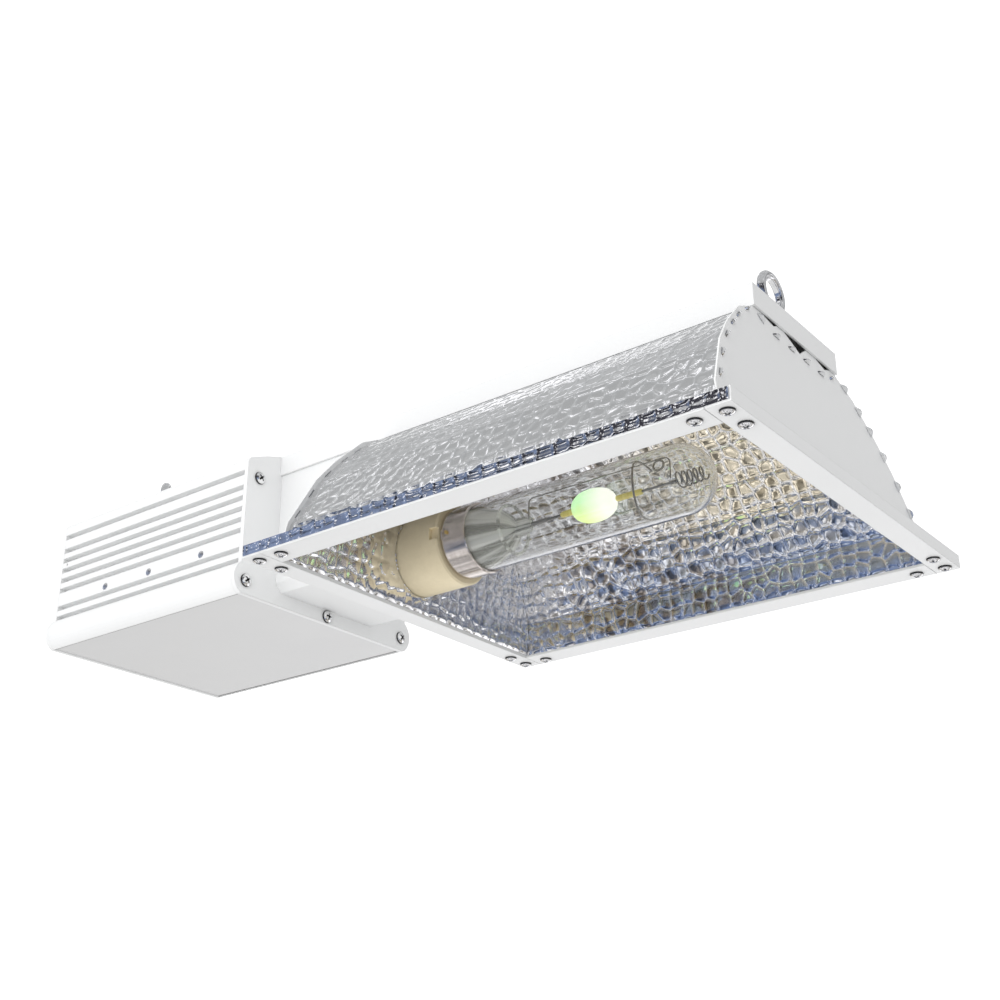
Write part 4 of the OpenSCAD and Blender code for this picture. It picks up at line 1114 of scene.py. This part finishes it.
bead = lamp_turned(arc(45.0, 0, 2.6, 180, 0, 24), 40, closed=False)
a = np.radians(np.linspace(0, 360, 60, endpoint=False))[:, None]
b = full_turn(14)[None, :]
ring = np.stack([36 + (3.0 + 0.6 * np.cos(b)) * np.cos(a), 0.6 * np.sin(b) + 0 * a,
                 LAMP_Z + RUN - 3.7 + (3.0 + 0.6 * np.cos(b)) * np.sin(a)], -1)
ring = outward((place(ring.reshape(-1, 3)), grid_faces(60, 14, wrap_rows=True, wrap_cols=True)))
piece("getter_ring", *ring, "lamp", "dark_wire", ["getter"])
piece("tip_glass_bead", *bead, "lamp", "clear_glass")

# %% [markdown]
# ## Camera, light and floor
# The fixture hangs above the camera, which looks up at it with a 52.5 mm lens.

# %% Camera
CAM_AT = (0.52967, -0.61221, -0.41145)
YAW, PITCH, ROLL = (math.radians(a) for a in (127.5127, 23.553, -0.279))
forward = np.array([math.cos(YAW) * math.cos(PITCH), math.sin(YAW) * math.cos(PITCH), math.sin(PITCH)])
right = np.array([math.sin(YAW), -math.cos(YAW), 0.0])
up = np.cross(right, forward)
level = math.cos(ROLL) * right + math.sin(ROLL) * up
upright = -math.sin(ROLL) * right + math.cos(ROLL) * up
data = bpy.data.cameras.new("camera")
data.lens, data.sensor_width = 52.5, 36.0
data.clip_start, data.clip_end = 0.01, 50.0
camera = bpy.data.objects.new("camera", data)
camera.matrix_world = Matrix(
    [[level[i], upright[i], -forward[i], CAM_AT[i]] for i in range(3)] + [[0, 0, 0, 1]])
bpy.context.scene.collection.objects.link(camera)
bpy.context.scene.camera = camera
print("camera at", CAM_AT)

# %% [markdown]
# The floor is a pale disc well below the fixture. Only the camera sees it, so it neither
# shades the fixture nor shows in its metal.

# %% Floor
FLOOR_Z, FLOOR_HALF = -1.3, 3.0
ring = np.linspace(0, 2 * np.pi, 65)[:-1]
disc = np.stack([FLOOR_HALF * np.cos(ring), FLOOR_HALF * np.sin(ring), np.full(64, FLOOR_Z)], -1)
mesh = bpy.data.meshes.new("studio_floor")
mesh.from_pydata([tuple(p) for p in disc.tolist()], [], [list(range(64))])
mat, t, s = finish("studio_floor", Base_Color=(0.86, 0.86, 0.86, 1), Roughness=0.8)
co = t.coords()
t.put(s, "Base Color", t.mix(t.noise(co, 3.0, 3.0), (0.82, 0.82, 0.82, 1), (0.88, 0.88, 0.88, 1)))
mesh.materials.append(mat)
floor = bpy.data.objects.new("studio_floor", mesh)
bpy.context.scene.collection.objects.link(floor)
floor.visible_diffuse = floor.visible_glossy = floor.visible_transmission = False
floor.visible_shadow = False
print("floor at z =", FLOOR_Z)

# %% [markdown]
# The camera sees plain white. Painted parts see soft white light that grows a little dimmer
# towards +X, so the sides read apart. Bright metal needs something to mirror, so glossy rays
# see cards: pale at eye level, warm lower down, pale again straight below and grey overhead,
# with a blue band at the front whose upper part is charcoal, dark gaps between, and small
# bright windows. Reflections of reflections are dimmed.

# %% Studio
PALE, WARM, GREY = (0.86, 0.86, 0.87, 1), (0.50, 0.45, 0.36, 1), (0.66, 0.67, 0.68, 1)
LOW_BOARD, BLUE, CHARCOAL = (0.80, 0.80, 0.82, 1), (0.28, 0.36, 0.56, 1), (0.06, 0.06, 0.075, 1)
WINDOW, WHITE = (1.6, 1.6, 1.65, 1), (1, 1, 1, 1)
world = bpy.data.worlds.new("studio")
bpy.context.scene.world = world
world.use_nodes = True
w = Tree(world.node_tree)
for n in list(world.node_tree.nodes):
    world.node_tree.nodes.remove(n)
look = w.add("ShaderNodeTexCoord").outputs["Generated"]
axis = w.split(look)
front = w.ramp(axis["Y"], 0.10, -0.20)
band = w.times(w.ramp(axis["Z"], -0.62, -0.42), w.ramp(axis["Z"], 0.60, 0.48))
cards = w.mix(w.ramp(axis["Z"], -0.10, -0.45), PALE, WARM)
cards = w.mix(w.ramp(axis["Z"], 0.3, 0.6), cards, GREY)
cards = w.mix(w.ramp(axis["Z"], -0.55, -0.75), cards, LOW_BOARD)
charcoal = w.times(w.ramp(axis["X"], -0.70, -0.45), w.ramp(axis["Z"], 0.05, 0.2))
cards = w.mix(w.times(band, front), cards, w.mix(charcoal, BLUE, CHARCOAL))
gaps = w.ramp(w.noise(look, 5.0, 3.0, 0.6), 0.38, 0.52, 0.15, 1.0)
gaps = w.math("MAXIMUM", gaps, w.ramp(axis["Z"], 0.45, 0.65, 0.0, 0.86))
spots = w.plus(w.noise(look, 8.0, 2.0, 0.5), w.ramp(axis["Z"], -0.35, -0.6, 0.0, 0.07))
windows = w.ramp(spots, 0.61, 0.65, 0.0, 1.0)
cards = w.mix(1.0, cards, w.grey(gaps), "MULTIPLY")
rim_light = w.times(w.ramp(axis["Y"], 0.62, 0.72),
                   w.times(w.ramp(axis["Z"], -0.50, -0.42), w.ramp(axis["Z"], -0.10, -0.16)))
mirror_sky = w.mix(w.math("MAXIMUM", windows, rim_light), cards, WINDOW)
soft = w.plus(1.02, w.times(axis["Z"], 0.15))
soft = w.math("SUBTRACT", soft, w.times(axis["Y"], 0.08))
soft = w.math("SUBTRACT", soft, w.times(axis["X"], 0.34))
path = w.add("ShaderNodeLightPath").outputs
again = w.ramp(path["Ray Depth"], 1.5, 2.5, 1.0, 0.72)
mirror_sky = w.mix(1.0, mirror_sky, w.grey(again), "MULTIPLY")
seen = w.mix(path["Is Glossy Ray"], w.grey(soft), mirror_sky)
seen = w.mix(path["Is Camera Ray"], seen, WHITE)
strength = w.plus(1.0, w.times(path["Is Camera Ray"], 0.3))
bg = w.add("ShaderNodeBackground", Color=seen, Strength=strength)
w.add("ShaderNodeOutputWorld", Surface=bg.outputs[0])
print("studio nodes:", len(world.node_tree.nodes))

# %% [markdown]
# Two softboxes at the front give the painted parts their shape. They are hidden from glossy
# rays, or the metal would show them as white patches.

# %% Softboxes


def softbox(name, at, look_at, size, power):
    """Square area light at a point, turned to face another point."""
    data = bpy.data.lights.new(name, "AREA")
    data.shape, data.size, data.energy = "SQUARE", size, power
    obj = bpy.data.objects.new(name, data)
    aim = np.array(look_at) - np.array(at)
    z = -aim / np.linalg.norm(aim)
    x = np.cross([0, 0, 1], z)
    x /= np.linalg.norm(x)
    y = np.cross(z, x)
    obj.matrix_world = Matrix([[x[i], y[i], z[i], at[i]] for i in range(3)] + [[0, 0, 0, 1]])
    bpy.context.scene.collection.objects.link(obj)
    return obj


softbox("key_left", (-0.9, -1.3, 0.15), (-0.1, 0, -0.06), 0.9, 0.9).visible_glossy = False
softbox("key_front", (0.25, -0.95, -0.15), (-0.15, 0, -0.08), 0.45, 1.8).visible_glossy = False
bpy.context.scene.view_settings.view_transform = "Standard"
print("lights:", len(bpy.data.lights))
